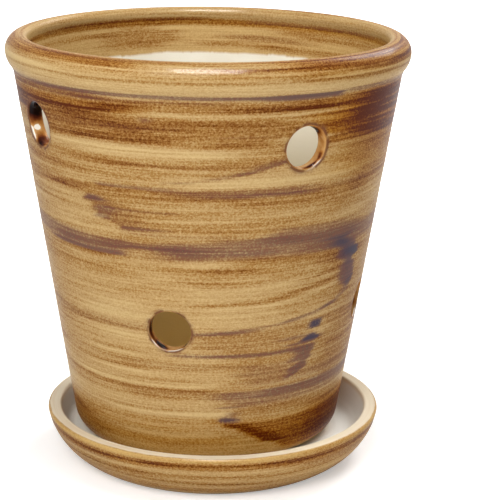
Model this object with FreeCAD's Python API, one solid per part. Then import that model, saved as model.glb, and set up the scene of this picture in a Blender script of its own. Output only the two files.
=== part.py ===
# Orchid pot with round air holes, standing in a separate drip saucer.
#
# The frame: millimetres, +Z up. The origin lies on the table, on the pot's own axis.
# Two rings of air holes go round the pot. The upper ring's holes face +X, +Y, -X and -Y,
# and the lower ring's holes lie a little more than half a pitch further round. They are
# punched by hand, so two of the upper holes aren't quite level with their ring.
# The saucer stands a little off the pot's axis, because nothing centres the pot in it.

import FreeCAD, Part
import math
import os

Vector = FreeCAD.Vector

# The pot's outside
pot_height = 152.0            # from the foot that it stands on to the crest of its rim
rim_radius = 75.0             # the widest place of the rolled rim
rim_depth = 12.0              # from the rim's crest down to the neck under the roll
rim_widest_depth = 5.7        # from the crest down to the widest place, and the round between them
neck_radius = 72.2            # the wall's outside, straight under the roll
foot_radius = 49.6            # where the wall's outside would meet the foot plane
foot_round = 9.0              # the round between the wall and the foot plane

# The pot's inside and underside
wall = 5.6                    # measured level, from the outside to the inside
floor_thickness = 7.0
floor_round = 9.0             # the round between the inside wall and the floor
bead_reach = 0.9              # how far the rim's inner bead stands in from the wall
bead_depth = 5.4              # from the crest down to the groove under the bead
foot_ring_width = 6.0         # the level ring that the pot stands on
foot_recess = 1.6             # how far the underside is raised inside that ring
foot_edge_round = 0.6

# The air holes and the drain hole
air_hole_radius = 7.6
air_holes_in_ring = 4
upper_hole_drop = 18.0        # from the neck under the rim down to the upper ring's centres
lower_hole_rise = 54.0        # from the foot up to the lower holes' centres
minus_x_hole_rise = 1.6       # how far the upper hole that faces -X lies above its ring
minus_y_hole_rise = -0.6      # and the one that faces -Y
lower_ring_turn = 2.4         # degrees, how far the lower ring lies past half a pitch
drain_hole_radius = 7.6
hole_lip_round = 0.7          # the softened edge of each hole

# The saucer
saucer_height = 19.0
saucer_floor_height = 9.5     # from the table up to the floor that the pot stands on
saucer_offset_x = 0.7         # from the pot's axis to the saucer's
saucer_offset_y = -4.0
dish_gap = 6.2                # from the pot's foot to the dish's wall, if both shared one axis
dish_taper = 3.4              # how much narrower the dish is at its floor than at its lip
dish_round = 4.0              # the round between the dish's wall and its floor
saucer_lip_width = 5.1        # the level top of the lip
saucer_lip_round = 1.1
saucer_band_height = 4.5      # the nearly upright band under the lip
saucer_band_taper = 1.2       # how much narrower the band is at its lower edge
saucer_foot_inset = 14.6      # how far the saucer's foot lies inside its lip
saucer_foot_ring_width = 6.0
saucer_foot_recess = 3.0

# Shares
saucer_side_bow_share = 0.1   # how far the side bows out, as a share of its straight length
lip_round_wall_share = 0.4    # a hole's lip is never rounder than this share of the wall
half_share = 0.5

# One overrun serves all cuts
overrun = 10.0

full_turn = 360.0

origin = Vector(0, 0, 0)
upright = Vector(0, 0, 1)


def point(radius, height):
    """A point of an outline that is turned about the upright axis."""
    return Vector(radius, 0, height)


def line(start, end):
    return Part.LineSegment(start, end).toShape()


def bowed(start, end, bow_share):
    """An arc that bows out to the right of its way by a share of its straight length."""
    way = end.sub(start)
    right = Vector(way.z, 0, -way.x)
    middle = start.add(end).multiply(half_share).add(right.multiply(bow_share))
    return Part.Arc(start, middle, end).toShape()


def arc_about(centre, start, end):
    """The shorter arc round a centre from start to end, which lie as far from it."""
    to_start = start.sub(centre)
    to_middle = to_start.add(end.sub(centre)).normalize().multiply(to_start.Length)
    return Part.Arc(start, centre.add(to_middle), end).toShape()


def centre_level_with(tip, other):
    """The centre of the circle through two points that is upright at the tip."""
    across = other.x - tip.x
    along = other.z - tip.z
    return point(tip.x + (across ** 2 + along ** 2) / across * half_share, tip.z)


def run(stops):
    """Straight stretches through stops of (point, round), with each inner corner rounded."""
    edges = []
    here = stops[0][0]
    for (corner, corner_round), (after, _) in zip(stops[1:], stops[2:]):
        if corner_round > 0:
            back = here.sub(corner).normalize()
            ahead = after.sub(corner).normalize()
            half_angle = back.getAngle(ahead) * half_share
            setback = corner_round / math.tan(half_angle)
            to_centre = corner_round / math.sin(half_angle)
            centre = corner.add(back.add(ahead).normalize().multiply(to_centre))
            arc_start = corner.add(back.multiply(setback))
            arc_end = corner.add(ahead.multiply(setback))
            edges.append(line(here, arc_start))
            edges.append(arc_about(centre, arc_start, arc_end))
            here = arc_end
        else:
            edges.append(line(here, corner))
            here = corner
    edges.append(line(here, stops[-1][0]))
    return edges


def turned(edges):
    """The solid that a closed outline makes when it is turned about the upright axis."""
    face = Part.Face(Part.Wire(edges))
    return face.revolve(origin, upright, full_turn)


def hole_edges(solid, radius):
    """The rims of every round hole of one radius, without the seams along the holes."""
    edges = []
    for face in solid.Faces:
        if isinstance(face.Surface, Part.Cylinder) and math.isclose(face.Surface.Radius, radius):
            edges.extend(edge for edge in face.Edges if not isinstance(edge.Curve, Part.Line))
    return edges


def pot_body(pot_base):
    """The pot's clay as it comes off the wheel, before any hole is cut."""
    rim_top = pot_base + pot_height
    floor_top = pot_base + floor_thickness
    underside = pot_base + foot_recess
    wall_slope = (neck_radius - foot_radius) / (pot_height - rim_depth)

    recess_radius = foot_radius - foot_round - foot_ring_width
    neck = point(neck_radius, rim_top - rim_depth)
    widest = point(rim_radius, rim_top - rim_widest_depth)
    crest = point(rim_radius - rim_widest_depth, rim_top)
    groove_height = rim_top - bead_depth
    groove_radius = foot_radius - wall + wall_slope * (groove_height - pot_base)
    groove = point(groove_radius, groove_height)
    bead_radius = groove_radius - bead_reach
    bead = point(bead_radius, rim_top - (crest.x - bead_radius))
    inside_foot = point(foot_radius - wall + wall_slope * floor_thickness, floor_top)

    underside_and_wall = run([
        (point(0, underside), 0),
        (point(recess_radius, underside), foot_edge_round),
        (point(recess_radius, pot_base), foot_edge_round),
        (point(foot_radius, pot_base), foot_round),
        (neck, 0)])
    rolled_rim = [
        arc_about(centre_level_with(widest, neck), neck, widest),
        arc_about(point(crest.x, widest.z), widest, crest),
        arc_about(point(crest.x, bead.z), crest, bead),
        arc_about(centre_level_with(bead, groove), bead, groove)]
    inside = run([
        (groove, 0),
        (inside_foot, floor_round),
        (point(0, floor_top), 0)])
    axis = line(point(0, floor_top), point(0, underside))
    return turned(underside_and_wall + rolled_rim + inside + [axis])


def ring_of_bores(height, first_angle, rises):
    """Level bores through the wall, spread evenly round the pot, each raised a little."""
    reach = rim_radius + overrun
    bores = []
    for number, rise in enumerate(rises):
        angle = math.radians(first_angle + number * full_turn / air_holes_in_ring)
        outward = Vector(math.cos(angle), math.sin(angle), 0)
        bores.append(Part.makeCylinder(air_hole_radius, reach, Vector(0, 0, height + rise), outward))
    return bores


def make_pot():
    """The pot, standing on the saucer's floor."""
    pot_base = saucer_floor_height
    neck_height = pot_base + pot_height - rim_depth
    half_pitch = full_turn / air_holes_in_ring * half_share
    level_ring = [0] * air_holes_in_ring
    upper_rises = level_ring[:-2] + [minus_x_hole_rise, minus_y_hole_rise]
    bores = ring_of_bores(neck_height - upper_hole_drop, 0, upper_rises)
    bores += ring_of_bores(pot_base + lower_hole_rise, half_pitch + lower_ring_turn, level_ring)
    drain_start = Vector(0, 0, pot_base - overrun)
    bores.append(Part.makeCylinder(drain_hole_radius, floor_thickness + overrun + overrun, drain_start))
    pot = pot_body(pot_base).cut(bores)

    lip_round = min(hole_lip_round, wall * lip_round_wall_share)
    edges = hole_edges(pot, air_hole_radius)
    if not math.isclose(drain_hole_radius, air_hole_radius):
        edges += hole_edges(pot, drain_hole_radius)
    return pot.makeFillet(lip_round, edges)


def make_saucer():
    """The drip saucer, turned about its own axis and then moved off the pot's."""
    dish_radius = foot_radius + dish_gap
    lip_inside = dish_radius + dish_taper
    lip_radius = lip_inside + saucer_lip_width
    foot = point(lip_radius - saucer_foot_inset, 0)
    recess_radius = foot.x - saucer_foot_ring_width
    band_foot = point(lip_radius - saucer_band_taper, saucer_height - saucer_band_height)

    underside = run([
        (point(0, saucer_foot_recess), 0),
        (point(recess_radius, saucer_foot_recess), foot_edge_round),
        (point(recess_radius, 0), foot_edge_round),
        (foot, 0)])
    side = bowed(foot, band_foot, saucer_side_bow_share)
    lip_and_dish = run([
        (band_foot, 0),
        (point(lip_radius, saucer_height), saucer_lip_round),
        (point(lip_inside, saucer_height), saucer_lip_round),
        (point(dish_radius, saucer_floor_height), dish_round),
        (point(0, saucer_floor_height), 0)])
    axis = line(point(0, saucer_floor_height), point(0, saucer_foot_recess))
    saucer = turned(underside + [side] + lip_and_dish + [axis])
    saucer.translate(Vector(saucer_offset_x, saucer_offset_y, 0))
    return saucer


pieces = {"pot": make_pot(), "saucer": make_saucer()}
os.makedirs("parts", exist_ok=True)
for name, shape in pieces.items():
    shape.exportStep("parts/" + name + ".step")
    box = shape.optimalBoundingBox()
    print(name, "valid:", shape.isValid(), "solids:", len(shape.Solids),
          "volume, cm3:", round(shape.Volume / 1000, 1),
          "height, mm:", round(box.ZMin, 2), "to", round(box.ZMax, 2))
print("overlap, mm3:", round(pieces["pot"].common(pieces["saucer"]).Volume, 3))
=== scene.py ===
# %% [markdown]
# # A brush-streaked orchid pot in its saucer
#
# The object is a thrown stoneware pot for an orchid. It has a tapered wall, a rolled rim, two rings
# of round air holes, and a plain drip saucer to stand in. What makes it look the way it does is the
# glaze: a golden coat with brown and plum oxides dragged round it on a wide brush.
#
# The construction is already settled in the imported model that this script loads. Its pieces give
# every place and size, so the first cell only loads it and reads its outer box.

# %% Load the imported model
import math
from collections import namedtuple

import bpy
from mathutils import Matrix, Vector, noise


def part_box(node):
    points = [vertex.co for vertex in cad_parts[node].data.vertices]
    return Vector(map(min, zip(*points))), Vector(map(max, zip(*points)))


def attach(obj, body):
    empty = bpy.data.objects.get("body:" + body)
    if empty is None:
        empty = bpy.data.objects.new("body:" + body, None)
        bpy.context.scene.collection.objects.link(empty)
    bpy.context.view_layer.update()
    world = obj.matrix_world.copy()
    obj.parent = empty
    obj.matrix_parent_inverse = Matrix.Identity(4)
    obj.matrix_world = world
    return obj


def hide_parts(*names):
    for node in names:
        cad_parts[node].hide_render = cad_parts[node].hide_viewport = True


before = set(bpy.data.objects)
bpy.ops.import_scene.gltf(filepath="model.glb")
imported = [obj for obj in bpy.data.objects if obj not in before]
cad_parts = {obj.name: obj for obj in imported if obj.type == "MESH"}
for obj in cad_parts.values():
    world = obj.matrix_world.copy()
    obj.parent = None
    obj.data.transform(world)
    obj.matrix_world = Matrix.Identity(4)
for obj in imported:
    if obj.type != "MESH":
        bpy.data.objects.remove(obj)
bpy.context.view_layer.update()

mm = 0.001

# %% [markdown]
# ## Sizes
#
# The pot stands on the saucer's floor, and its axis is the model's own upright axis. The outer sizes
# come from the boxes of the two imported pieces. The smaller sizes of the clay, such as the wall and
# the roll of the rim, are named here in millimetres.

# %% Read the outer sizes and name the rest
pot_low, pot_high = (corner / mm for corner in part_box("pot"))
saucer_low, saucer_high = (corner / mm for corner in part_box("saucer"))

foot_height = pot_low.z
crest_height = pot_high.z
rim_radius = pot_high.x

wall = 5.6
neck_radius = 72.2
neck_height = crest_height - 12.0
widest_drop = 5.7
foot_radius = 49.6
foot_round = 9.0
floor_height = foot_height + 7.0
floor_round = 9.0
bead_reach = 0.9
bead_drop = 5.4
foot_ring_width = 6.0
foot_recess = 1.6
edge_round = 0.6

hole_radius = 7.6
lip_round = 0.7
upper_ring_height = neck_height - 18.0
lower_ring_height = foot_height + 54.0

wall_slope = (neck_radius - foot_radius) / (neck_height - foot_height)
print("Pot from", round(foot_height, 1), "to", round(crest_height, 1), "mm, rim", round(rim_radius, 1))

# %% [markdown]
# ## Drawing an outline
#
# A potter's template is a flat outline that the wheel turns into a solid. The outline could come
# from a Screw modifier on a curve, but here the wall must keep straight rows of points where the
# air holes go. So the outline is a plain list of points, made by four small helpers: a straight
# stretch, an arc round a centre, an easy bend for places where glaze fills a corner, and a run of
# straight stretches with rounded corners.

# %% Helpers for outlines
def line(start, end, steps):
    """Points from start towards end, without the end itself."""
    return [start.lerp(end, step / steps) for step in range(steps)]


def arc(centre, start, end, steps):
    """Points on the shorter arc round a centre, without the end itself."""
    first, last = start - centre, end - centre
    begin = math.atan2(first.y, first.x)
    sweep = (math.atan2(last.y, last.x) - begin + math.pi) % (2 * math.pi) - math.pi
    angles = [begin + sweep * step / steps for step in range(steps)]
    return [centre + first.length * Vector((math.cos(angle), math.sin(angle))) for angle in angles]


def bend(start, corner, end, steps):
    """Points on an easy curve that leaves start and meets end along the lines to the corner."""
    shares = [step / steps for step in range(steps)]
    return [start.lerp(corner, share).lerp(corner.lerp(end, share), share) for share in shares]


def run(stops, steps=4, spacing=2.5):
    """Straight stretches through stops of (radius, height, corner round), without the last stop."""
    places = [Vector((radius, height)) for radius, height, _ in stops]
    outline, here = [], places[0]
    for number in range(1, len(stops)):
        corner, corner_round = places[number], stops[number][2]
        begin = end = corner
        if corner_round:
            back = (here - corner).normalized()
            ahead = (places[number + 1] - corner).normalized()
            half_angle = back.angle(ahead) / 2
            begin = corner + back * corner_round / math.tan(half_angle)
            end = corner + ahead * corner_round / math.tan(half_angle)
            centre = corner + (back + ahead).normalized() * corner_round / math.sin(half_angle)
        length = (begin - here).length
        if length > 0.001:
            outline += line(here, begin, max(1, round(length / spacing)))
        if corner_round:
            outline += arc(centre, begin, end, steps)
        here = end
    return outline


quarter = arc(Vector((0, 0)), Vector((1, 0)), Vector((0, 1)), 4)
print("A quarter circle in four steps:", [tuple(round(part, 2) for part in point) for point in quarter])

# %% [markdown]
# ## The pot's outline
#
# The rolled rim is four arcs that meet smoothly: out from the neck, over the crest, round the inner
# bead and back to the wall. Real glaze gathers in the two hollow corners, under the roll and under
# the bead, so each of those corners gets an easy bend in place of a sharp crease.
#
# The two wall stretches are rows of points with one row level with each ring of holes.

# %% Draw the pot's outline
def wall_radius(height, depth=0.0):
    """The tapered wall's radius at a height, measured level into the clay by a depth."""
    return foot_radius + wall_slope * (height - foot_height) - depth


def wall_point(height, depth=0.0):
    """The wall's point in the outline at a height."""
    return Vector((wall_radius(height, depth), height))


def level_with(tip, other):
    """The centre of the circle through two points that runs upright at the tip."""
    across, along = other - tip
    return Vector((tip.x + (across * across + along * along) / (2 * across), tip.y))


def on_arc(centre, start, distance):
    """The point a distance along a circle from start, counted anticlockwise."""
    first = start - centre
    angle = math.atan2(first.y, first.x) + distance / first.length
    return centre + first.length * Vector((math.cos(angle), math.sin(angle)))


def wall_rows(heights, depth, spacing):
    """Wall points through a list of heights, evenly spaced between each two of them."""
    rows = []
    for start, end in zip(heights, heights[1:]):
        steps = round(abs(end - start) / spacing)
        rows += line(wall_point(start, depth), wall_point(end, depth), steps)
    return rows


glaze_fill = 2.2
brushed_inside = 16.0
brushed_spacing = 0.75
brushed_inside_spacing = 0.9
plain_spacing = 2.6
round_steps = 8
fill_steps = 6
neck_steps, shoulder_steps, crest_steps, bead_steps = 9, 14, 9, 3

neck = Vector((neck_radius, neck_height))
widest = Vector((rim_radius, crest_height - widest_drop))
crest = Vector((rim_radius - widest_drop, crest_height))
groove = wall_point(crest_height - bead_drop, wall)
bead = Vector((groove.x - bead_reach, 0))
bead.y = crest_height - (crest.x - bead.x)

roll_centre = level_with(widest, neck)
bead_centre = level_with(bead, groove)
neck_above = on_arc(roll_centre, neck, glaze_fill)
groove_above = on_arc(bead_centre, groove, -glaze_fill)

taper = math.atan(wall_slope)
round_reach = 1 / math.tan((math.pi / 2 + taper) / 2)
foot_round_top = foot_height + foot_round * round_reach * math.cos(taper)
floor_round_top = floor_height + floor_round * round_reach * math.cos(taper)
recess_radius = foot_radius - foot_round - foot_ring_width
bore_middle = (foot_height + foot_recess + floor_height) / 2

underside = run([
    (hole_radius, bore_middle, 0),
    (hole_radius, foot_height + foot_recess, lip_round),
    (recess_radius, foot_height + foot_recess, edge_round),
    (recess_radius, foot_height, edge_round),
    (foot_radius, foot_height, foot_round),
    (wall_radius(foot_round_top), foot_round_top, 0)], steps=round_steps)
outside = wall_rows([foot_round_top, lower_ring_height, upper_ring_height, neck_height - glaze_fill],
                    0, brushed_spacing)
rim = (
    bend(wall_point(neck_height - glaze_fill), neck, neck_above, fill_steps)
    + arc(roll_centre, neck_above, widest, neck_steps)
    + arc(Vector((crest.x, widest.y)), widest, crest, shoulder_steps)
    + arc(Vector((crest.x, bead.y)), crest, bead, crest_steps)
    + arc(bead_centre, bead, groove_above, bead_steps)
    + bend(groove_above, groove, wall_point(groove.y - glaze_fill, wall), fill_steps))
inside = wall_rows([groove.y - glaze_fill, groove.y - brushed_inside], wall, brushed_inside_spacing)
inside += wall_rows([groove.y - brushed_inside, upper_ring_height, lower_ring_height, floor_round_top],
                    wall, plain_spacing)
floor = run([
    (wall_radius(floor_round_top, wall), floor_round_top, 0),
    (wall_radius(floor_height, wall), floor_height, floor_round),
    (hole_radius, floor_height, lip_round),
    (hole_radius, bore_middle, 0)], steps=round_steps)

outline = underside + outside + rim + inside + floor
print("Points in the pot's outline:", len(outline))

# %% [markdown]
# ## A brush coordinate
#
# The streaks run round the pot and carry on over the roll of the rim without a break. Height alone
# can't place them, because on top of the roll the surface is level and one height covers a wide
# band. So each row of points gets a brush coordinate in millimetres: on the wall it is simply the
# height, and above and below the wall it goes on as the distance along the outline.

# %% Measure the brush coordinate along the outline
def brush_rows(points, known):
    """Brush coordinates that carry on from the known rows along the outline at both ends."""
    values = [known.get(row, 0.0) for row in range(len(points))]
    for row in range(max(known) + 1, len(points)):
        values[row] = values[row - 1] + (points[row] - points[row - 1]).length
    for row in range(min(known) - 1, -1, -1):
        values[row] = values[row + 1] - (points[row] - points[row + 1]).length
    return values


first_wall_row = len(underside)
last_wall_row = len(underside + outside)
inside_row = len(underside + outside + rim)
foot_ring_row = len(underside) - round_steps - 1  # the last row of the level ring the pot stands on
crest_row = max(range(len(outline)), key=lambda row: outline[row].y)

brush = brush_rows(outline, {row: outline[row].y for row in range(first_wall_row, last_wall_row + 1)})
print("Brush coordinate at the crest:", round(brush[crest_row], 1),
      "and at the top of the inside wall:", round(brush[inside_row], 1))

# %% [markdown]
# ## Round holes in a turned wall
#
# A Boolean modifier would cut the holes, but it leaves long thin faces, and the soft glazed lip then
# shades badly. A modeller's way is to open a square patch in the grid and lead rings of points from
# the square to a circle, over the lip, through the wall and out to a square on the inside. The
# outside has closer rows than the inside, because the brush strokes are painted on its points. So
# the rings change their number of points half way along the bore, where nothing shows it.

# %% Name the holes
columns = 216
square_half = 12.0
photo_turn = 29.5  # degrees from the front of the model, which faces -Y, to where the camera stands

Hole = namedtuple("Hole", "ring towards angle height lip")
# The holes were punched by hand, so they aren't all level with their ring or evenly spread.
# Nor did the wet sponge that softened their lips take the same off each of them.
upper_rises = {0: 0.0, 90: 0.0, 180: 1.6, 270: -0.6}
upper_lips = {0: 0.9, 90: 1.1, 180: 1.5, 270: 1.2}
lower_turn = 2.4
holes = [Hole("upper", angle, angle, upper_ring_height + rise, upper_lips[angle])
         for angle, rise in upper_rises.items()]
holes += [Hole("lower", angle, angle + lower_turn, lower_ring_height, lip_round)
          for angle in (45, 135, 225, 315)]
print("Air holes:", len(holes))

# %% [markdown]
# ## Glaze pooled in the holes, with painted shade and painted glints
#
# Thick glaze that ran into a hole before it froze is part of the shape too. The same table paints
# the shade high in each bore dark, and lays pale painted glints on the lower lips and in the bores.
# Sculpting would do it once, but a small table can be read and changed: at which hole, at what
# angle round the bore, how far it spreads and how thick it is.

# %% The table of pools, painted shade and painted glints
PoolShadeGlint = namedtuple("PoolShadeGlint", "clock spread share reach thick")
# A hole is named by its ring and its rough direction, in degrees from +X. The clock angle goes round
# the bore as seen from outside, from the right and up, and share is the way through the wall.
# A thickness below nothing paints a pale highlight: the white glints on the lower lips and in the
# bores. Pools in the upper half of a bore are painted shade under its upper lip, and they also
# thicken the glaze there. The others are glaze that ran down.
pools_shade_and_glints = {
    ("upper", 270): [PoolShadeGlint(60, 26, 0.70, 0.50, 0.90), PoolShadeGlint(292, 22, 0.12, 0.22, 0.75),
                     PoolShadeGlint(222, 26, 0.20, 0.20, 0.30), PoolShadeGlint(330, 12, 0.20, 0.20, 0.40),
                     PoolShadeGlint(300, 26, 0.0, 0.09, -1.3)],
    ("upper", 180): [PoolShadeGlint(128, 46, 0.45, 0.60, 1.35), PoolShadeGlint(238, 20, 0.45, 0.45, 0.50),
                     PoolShadeGlint(200, 7, 0.42, 0.20, -1.0), PoolShadeGlint(214, 20, 0.0, 0.10, -1.2),
                     PoolShadeGlint(262, 20, 0.12, 0.22, 0.60), PoolShadeGlint(90, 20, 0.20, 0.30, 0.45)],
    ("lower", 225): [PoolShadeGlint(226, 16, 0.0, 0.10, -1.6), PoolShadeGlint(290, 22, 0.0, 0.09, -1.5),
                     PoolShadeGlint(238, 19, 0.30, 0.34, 1.05), PoolShadeGlint(186, 26, 0.30, 0.34, 0.60),
                     PoolShadeGlint(318, 20, 0.10, 0.16, 0.80), PoolShadeGlint(150, 24, 0.30, 0.30, 0.34)],
    ("upper", 0): [PoolShadeGlint(280, 24, 0.0, 0.09, -1.0), PoolShadeGlint(250, 24, 0.30, 0.26, 0.80),
                   PoolShadeGlint(60, 18, 0.60, 0.25, 0.50)],
    ("upper", 90): [PoolShadeGlint(244, 24, 0.0, 0.09, -1.0), PoolShadeGlint(290, 26, 0.25, 0.30, 0.75),
                    PoolShadeGlint(150, 18, 0.70, 0.22, 0.55)],
    ("lower", 45): [PoolShadeGlint(300, 20, 0.0, 0.09, -1.0), PoolShadeGlint(262, 22, 0.35, 0.30, 0.90),
                    PoolShadeGlint(30, 20, 0.60, 0.25, 0.45)],
    ("lower", 135): [PoolShadeGlint(236, 22, 0.0, 0.09, -1.0), PoolShadeGlint(284, 20, 0.20, 0.25, 0.85),
                     PoolShadeGlint(196, 22, 0.60, 0.30, 0.55)],
    ("lower", 315): [PoolShadeGlint(286, 22, 0.0, 0.09, -1.0), PoolShadeGlint(248, 26, 0.25, 0.25, 0.80),
                     PoolShadeGlint(338, 18, 0.50, 0.30, 0.60)]}


def pooled_shade_and_glint(hole, clock, share):
    """How thickly glaze lies at a place in a hole's bore, from about -1 to about 1, with painted shade high
    in the bore and a painted glint below nothing.
    """
    thickness = 0.0
    for pool_shade_glint in pools_shade_and_glints[hole.ring, hole.towards]:
        around = (clock - pool_shade_glint.clock + 180) % 360 - 180
        along = share - pool_shade_glint.share
        thickness += pool_shade_glint.thick * math.exp(-(around / pool_shade_glint.spread) ** 2 - (along / pool_shade_glint.reach) ** 2)
    return thickness


print("Pools of glaze:", sum(map(len, pools_shade_and_glints.values())))

# %% [markdown]
# ## Building the pot's mesh
#
# The mesh is gathered in one list of points with three numbers beside each: the brush coordinate,
# the distance to the nearest hole's edge, and the thickness of pooled glaze, which also carries the
# painted shade and the painted glints in the bores. They are stored as attributes, so the finish can
# follow the shape without any picture laid over it.

# %% A gatherer for points, their numbers and faces
far_from_hole = 30.0
full_turn = 2 * math.pi
columns_turn = 360 / columns


class Gathered:
    """Points of a mesh with the numbers that its finish reads, and its faces."""

    def __init__(self):
        self.points, self.faces = [], []
        self.brush, self.hole_gap, self.pool_shade_glint = [], [], []

    def add(self, point, brush_at, gap=far_from_hole, pool_shade_glint_at=0.0):
        self.points.append(point)
        self.brush.append(brush_at)
        self.hole_gap.append(gap)
        self.pool_shade_glint.append(pool_shade_glint_at)
        return len(self.points) - 1

    def band(self, first, second):
        """Faces between two closed rings of points."""
        for here in range(len(first)):
            there = (here + 1) % len(first)
            self.faces.append((first[here], first[there], second[there], second[here]))

    def stitch(self, first, first_clocks, second, second_clocks):
        """Triangles between two closed rings that start together but differ in their points."""
        first_clocks = first_clocks + [first_clocks[0] + full_turn]
        second_clocks = second_clocks + [second_clocks[0] + full_turn]
        here = there = 0
        while here < len(first) or there < len(second):
            next_clock = second_clocks[min(there + 1, len(second))]
            first_is_next = here < len(first) and first_clocks[here + 1] <= next_clock
            here_point, there_point = first[here % len(first)], second[there % len(second)]
            if there == len(second) or first_is_next:
                here += 1
                self.faces.append((here_point, first[here % len(first)], there_point))
            else:
                there += 1
                self.faces.append((here_point, second[there % len(second)], there_point))

    def make(self, name):
        """A smooth mesh object, with points that no face uses left out."""
        used = sorted({index for face in self.faces for index in face})
        place = {old: new for new, old in enumerate(used)}
        mesh = bpy.data.meshes.new(name)
        mesh.from_pydata([self.points[old] * mm for old in used], [],
                         [[place[index] for index in face] for face in self.faces])
        for title, values in (("brush", self.brush), ("hole_gap", self.hole_gap), ("pool_shade_glint", self.pool_shade_glint)):
            attribute = mesh.attributes.new(title, "FLOAT", "POINT")
            attribute.data.foreach_set("value", [values[old] for old in used])
        mesh.shade_smooth()
        piece = bpy.data.objects.new(name, mesh)
        bpy.context.scene.collection.objects.link(piece)
        return piece


def turned_point(radius, angle, height):
    """A point on a circle about the upright axis, with the angle in degrees from +X."""
    turn = math.radians(angle)
    return Vector((radius * math.cos(turn), radius * math.sin(turn), height))


def gap_to_hole(radius, angle, height):
    """How far a wall point lies outside the nearest hole's lip."""
    gap = far_from_hole
    for hole in holes:
        turn = math.radians((angle - hole.angle + 180) % 360 - 180)
        if abs(turn) < math.pi / 4:
            away = math.hypot(radius * math.sin(turn), height - hole.height)
            gap = min(gap, away - hole_radius - hole.lip)
    return gap


print("A column is", round(rim_radius * math.radians(columns_turn), 2), "mm wide at the rim")

# %% Turn the outline into a grid
pot_mesh = Gathered()
wall_band = set(range(first_wall_row, last_wall_row))
inside_band = set(range(inside_row, inside_row + len(inside)))
grid = []
for row, place in enumerate(outline):
    on_wall = row in wall_band or row in inside_band
    ring = []
    for column in range(columns):
        angle = column * columns_turn
        gap = gap_to_hole(place.x, angle, place.y) if on_wall else far_from_hole
        ring.append(pot_mesh.add(turned_point(place.x, angle, place.y), brush[row], gap))
    grid.append(ring)
print("Rings of", columns, "points:", len(grid))


# %% Lay its faces, leaving a square open at each hole
def nearest_row(first, last, height):
    """The row from first to last that lies nearest a height."""
    return min(range(first, last), key=lambda row: abs(outline[row].y - height))


def steps_to(reach, spacing):
    """How many cells of a grid a reach takes."""
    return round(reach / spacing)


open_cells = set()
squares = []
for hole in holes:
    middle_column = round(hole.angle / columns_turn)
    across_half = steps_to(square_half, wall_radius(hole.height) * math.radians(columns_turn))
    sides = []
    for first, last in ((first_wall_row, last_wall_row), (inside_row, inside_row + len(inside))):
        middle_row = nearest_row(first, last, hole.height)
        up_half = steps_to(square_half, abs(outline[middle_row + 1].y - outline[middle_row].y))
        sides.append((middle_row, up_half))
        open_cells.update((middle_row + up, (middle_column + across) % columns)
                          for across in range(-across_half, across_half) for up in range(-up_half, up_half))
    squares.append((hole, middle_column, across_half, sides))

for row in range(len(outline)):
    next_row = (row + 1) % len(outline)
    for column in range(columns):
        next_column = (column + 1) % columns
        if (row, column) not in open_cells:
            pot_mesh.faces.append((grid[row][column], grid[row][next_column],
                                   grid[next_row][next_column], grid[next_row][column]))
print("Faces of the turned grid:", len(pot_mesh.faces))

# %% [markdown]
# ## From square to circle and through the wall
#
# A ring is described by two numbers a point: how far it lies beside the hole's middle and how far
# above it. The depth into the wall is a third. One function turns the three into a place, so the
# same rings serve the outside, the lip, the bore and the inside.

# %% Places round a hole
def square_steps(across_half, up_half):
    """The steps (across, up) round the edge of a rectangle, starting at the right and going up."""
    right = [(across_half, up) for up in range(0, up_half)]
    top = [(across, up_half) for across in range(across_half, -across_half, -1)]
    left = [(-across_half, up) for up in range(up_half, -up_half, -1)]
    bottom = [(across, -up_half) for across in range(-across_half, across_half)]
    return right + top + left + bottom + [(across_half, up) for up in range(-up_half, 0)]


def bore_point(hole, beside, height, share):
    """A point beside a hole's axis, a share of the way through the wall."""
    outer = math.sqrt(wall_radius(height) ** 2 - beside * beside)
    inner = math.sqrt(wall_radius(height, wall) ** 2 - beside * beside)
    along = outer + share * (inner - outer)
    turn = math.radians(hole.angle)
    return Vector((along * math.cos(turn) - beside * math.sin(turn),
                   along * math.sin(turn) + beside * math.cos(turn), height))


def inner_brush(height):
    """The brush coordinate on the inside wall."""
    return brush[inside_row] + (outline[inside_row].y - height) / math.cos(taper)


def seen_from_bore(hole, indices):
    """Grid points as places beside and above a hole's axis."""
    turn = math.radians(hole.angle)
    corners = [pot_mesh.points[index] for index in indices]
    return [Vector((corner.y * math.cos(turn) - corner.x * math.sin(turn), corner.z - hole.height))
            for corner in corners]


def clocks_of(places):
    """The angles of places round a hole, growing all the way round from the first one."""
    clocks = [math.atan2(places[0].y, places[0].x)]
    for place in places[1:]:
        clocks.append(clocks[-1] + (math.atan2(place.y, place.x) - clocks[-1]) % full_turn)
    return clocks


print("Points round a square of 12 by 12 cells:", len(square_steps(6, 6)))

# %% Lead rings through each hole
pool_depth = 0.55
lip_steps = 5
bore_steps = 5
outer_patch_shares = [0.16, 0.32, 0.48, 0.64, 0.79, 0.92]
inner_patch_shares = [0.3, 0.55, 0.75, 0.9]


def patch_rings(hole, edge, through, shares):
    """Rings from a square of grid points to the hole's lip, on one side of the wall."""
    rings = []
    for share in shares:
        ring = []
        for square in edge:
            beside, above = square.lerp(square.normalized() * (hole_radius + hole.lip), share)
            gap = math.hypot(beside, above) - hole_radius - hole.lip
            at = hole.height + above
            ring.append(pot_mesh.add(bore_point(hole, beside, at, through),
                                     inner_brush(at) if through else at, gap))
        rings.append(ring)
    return rings


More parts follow.
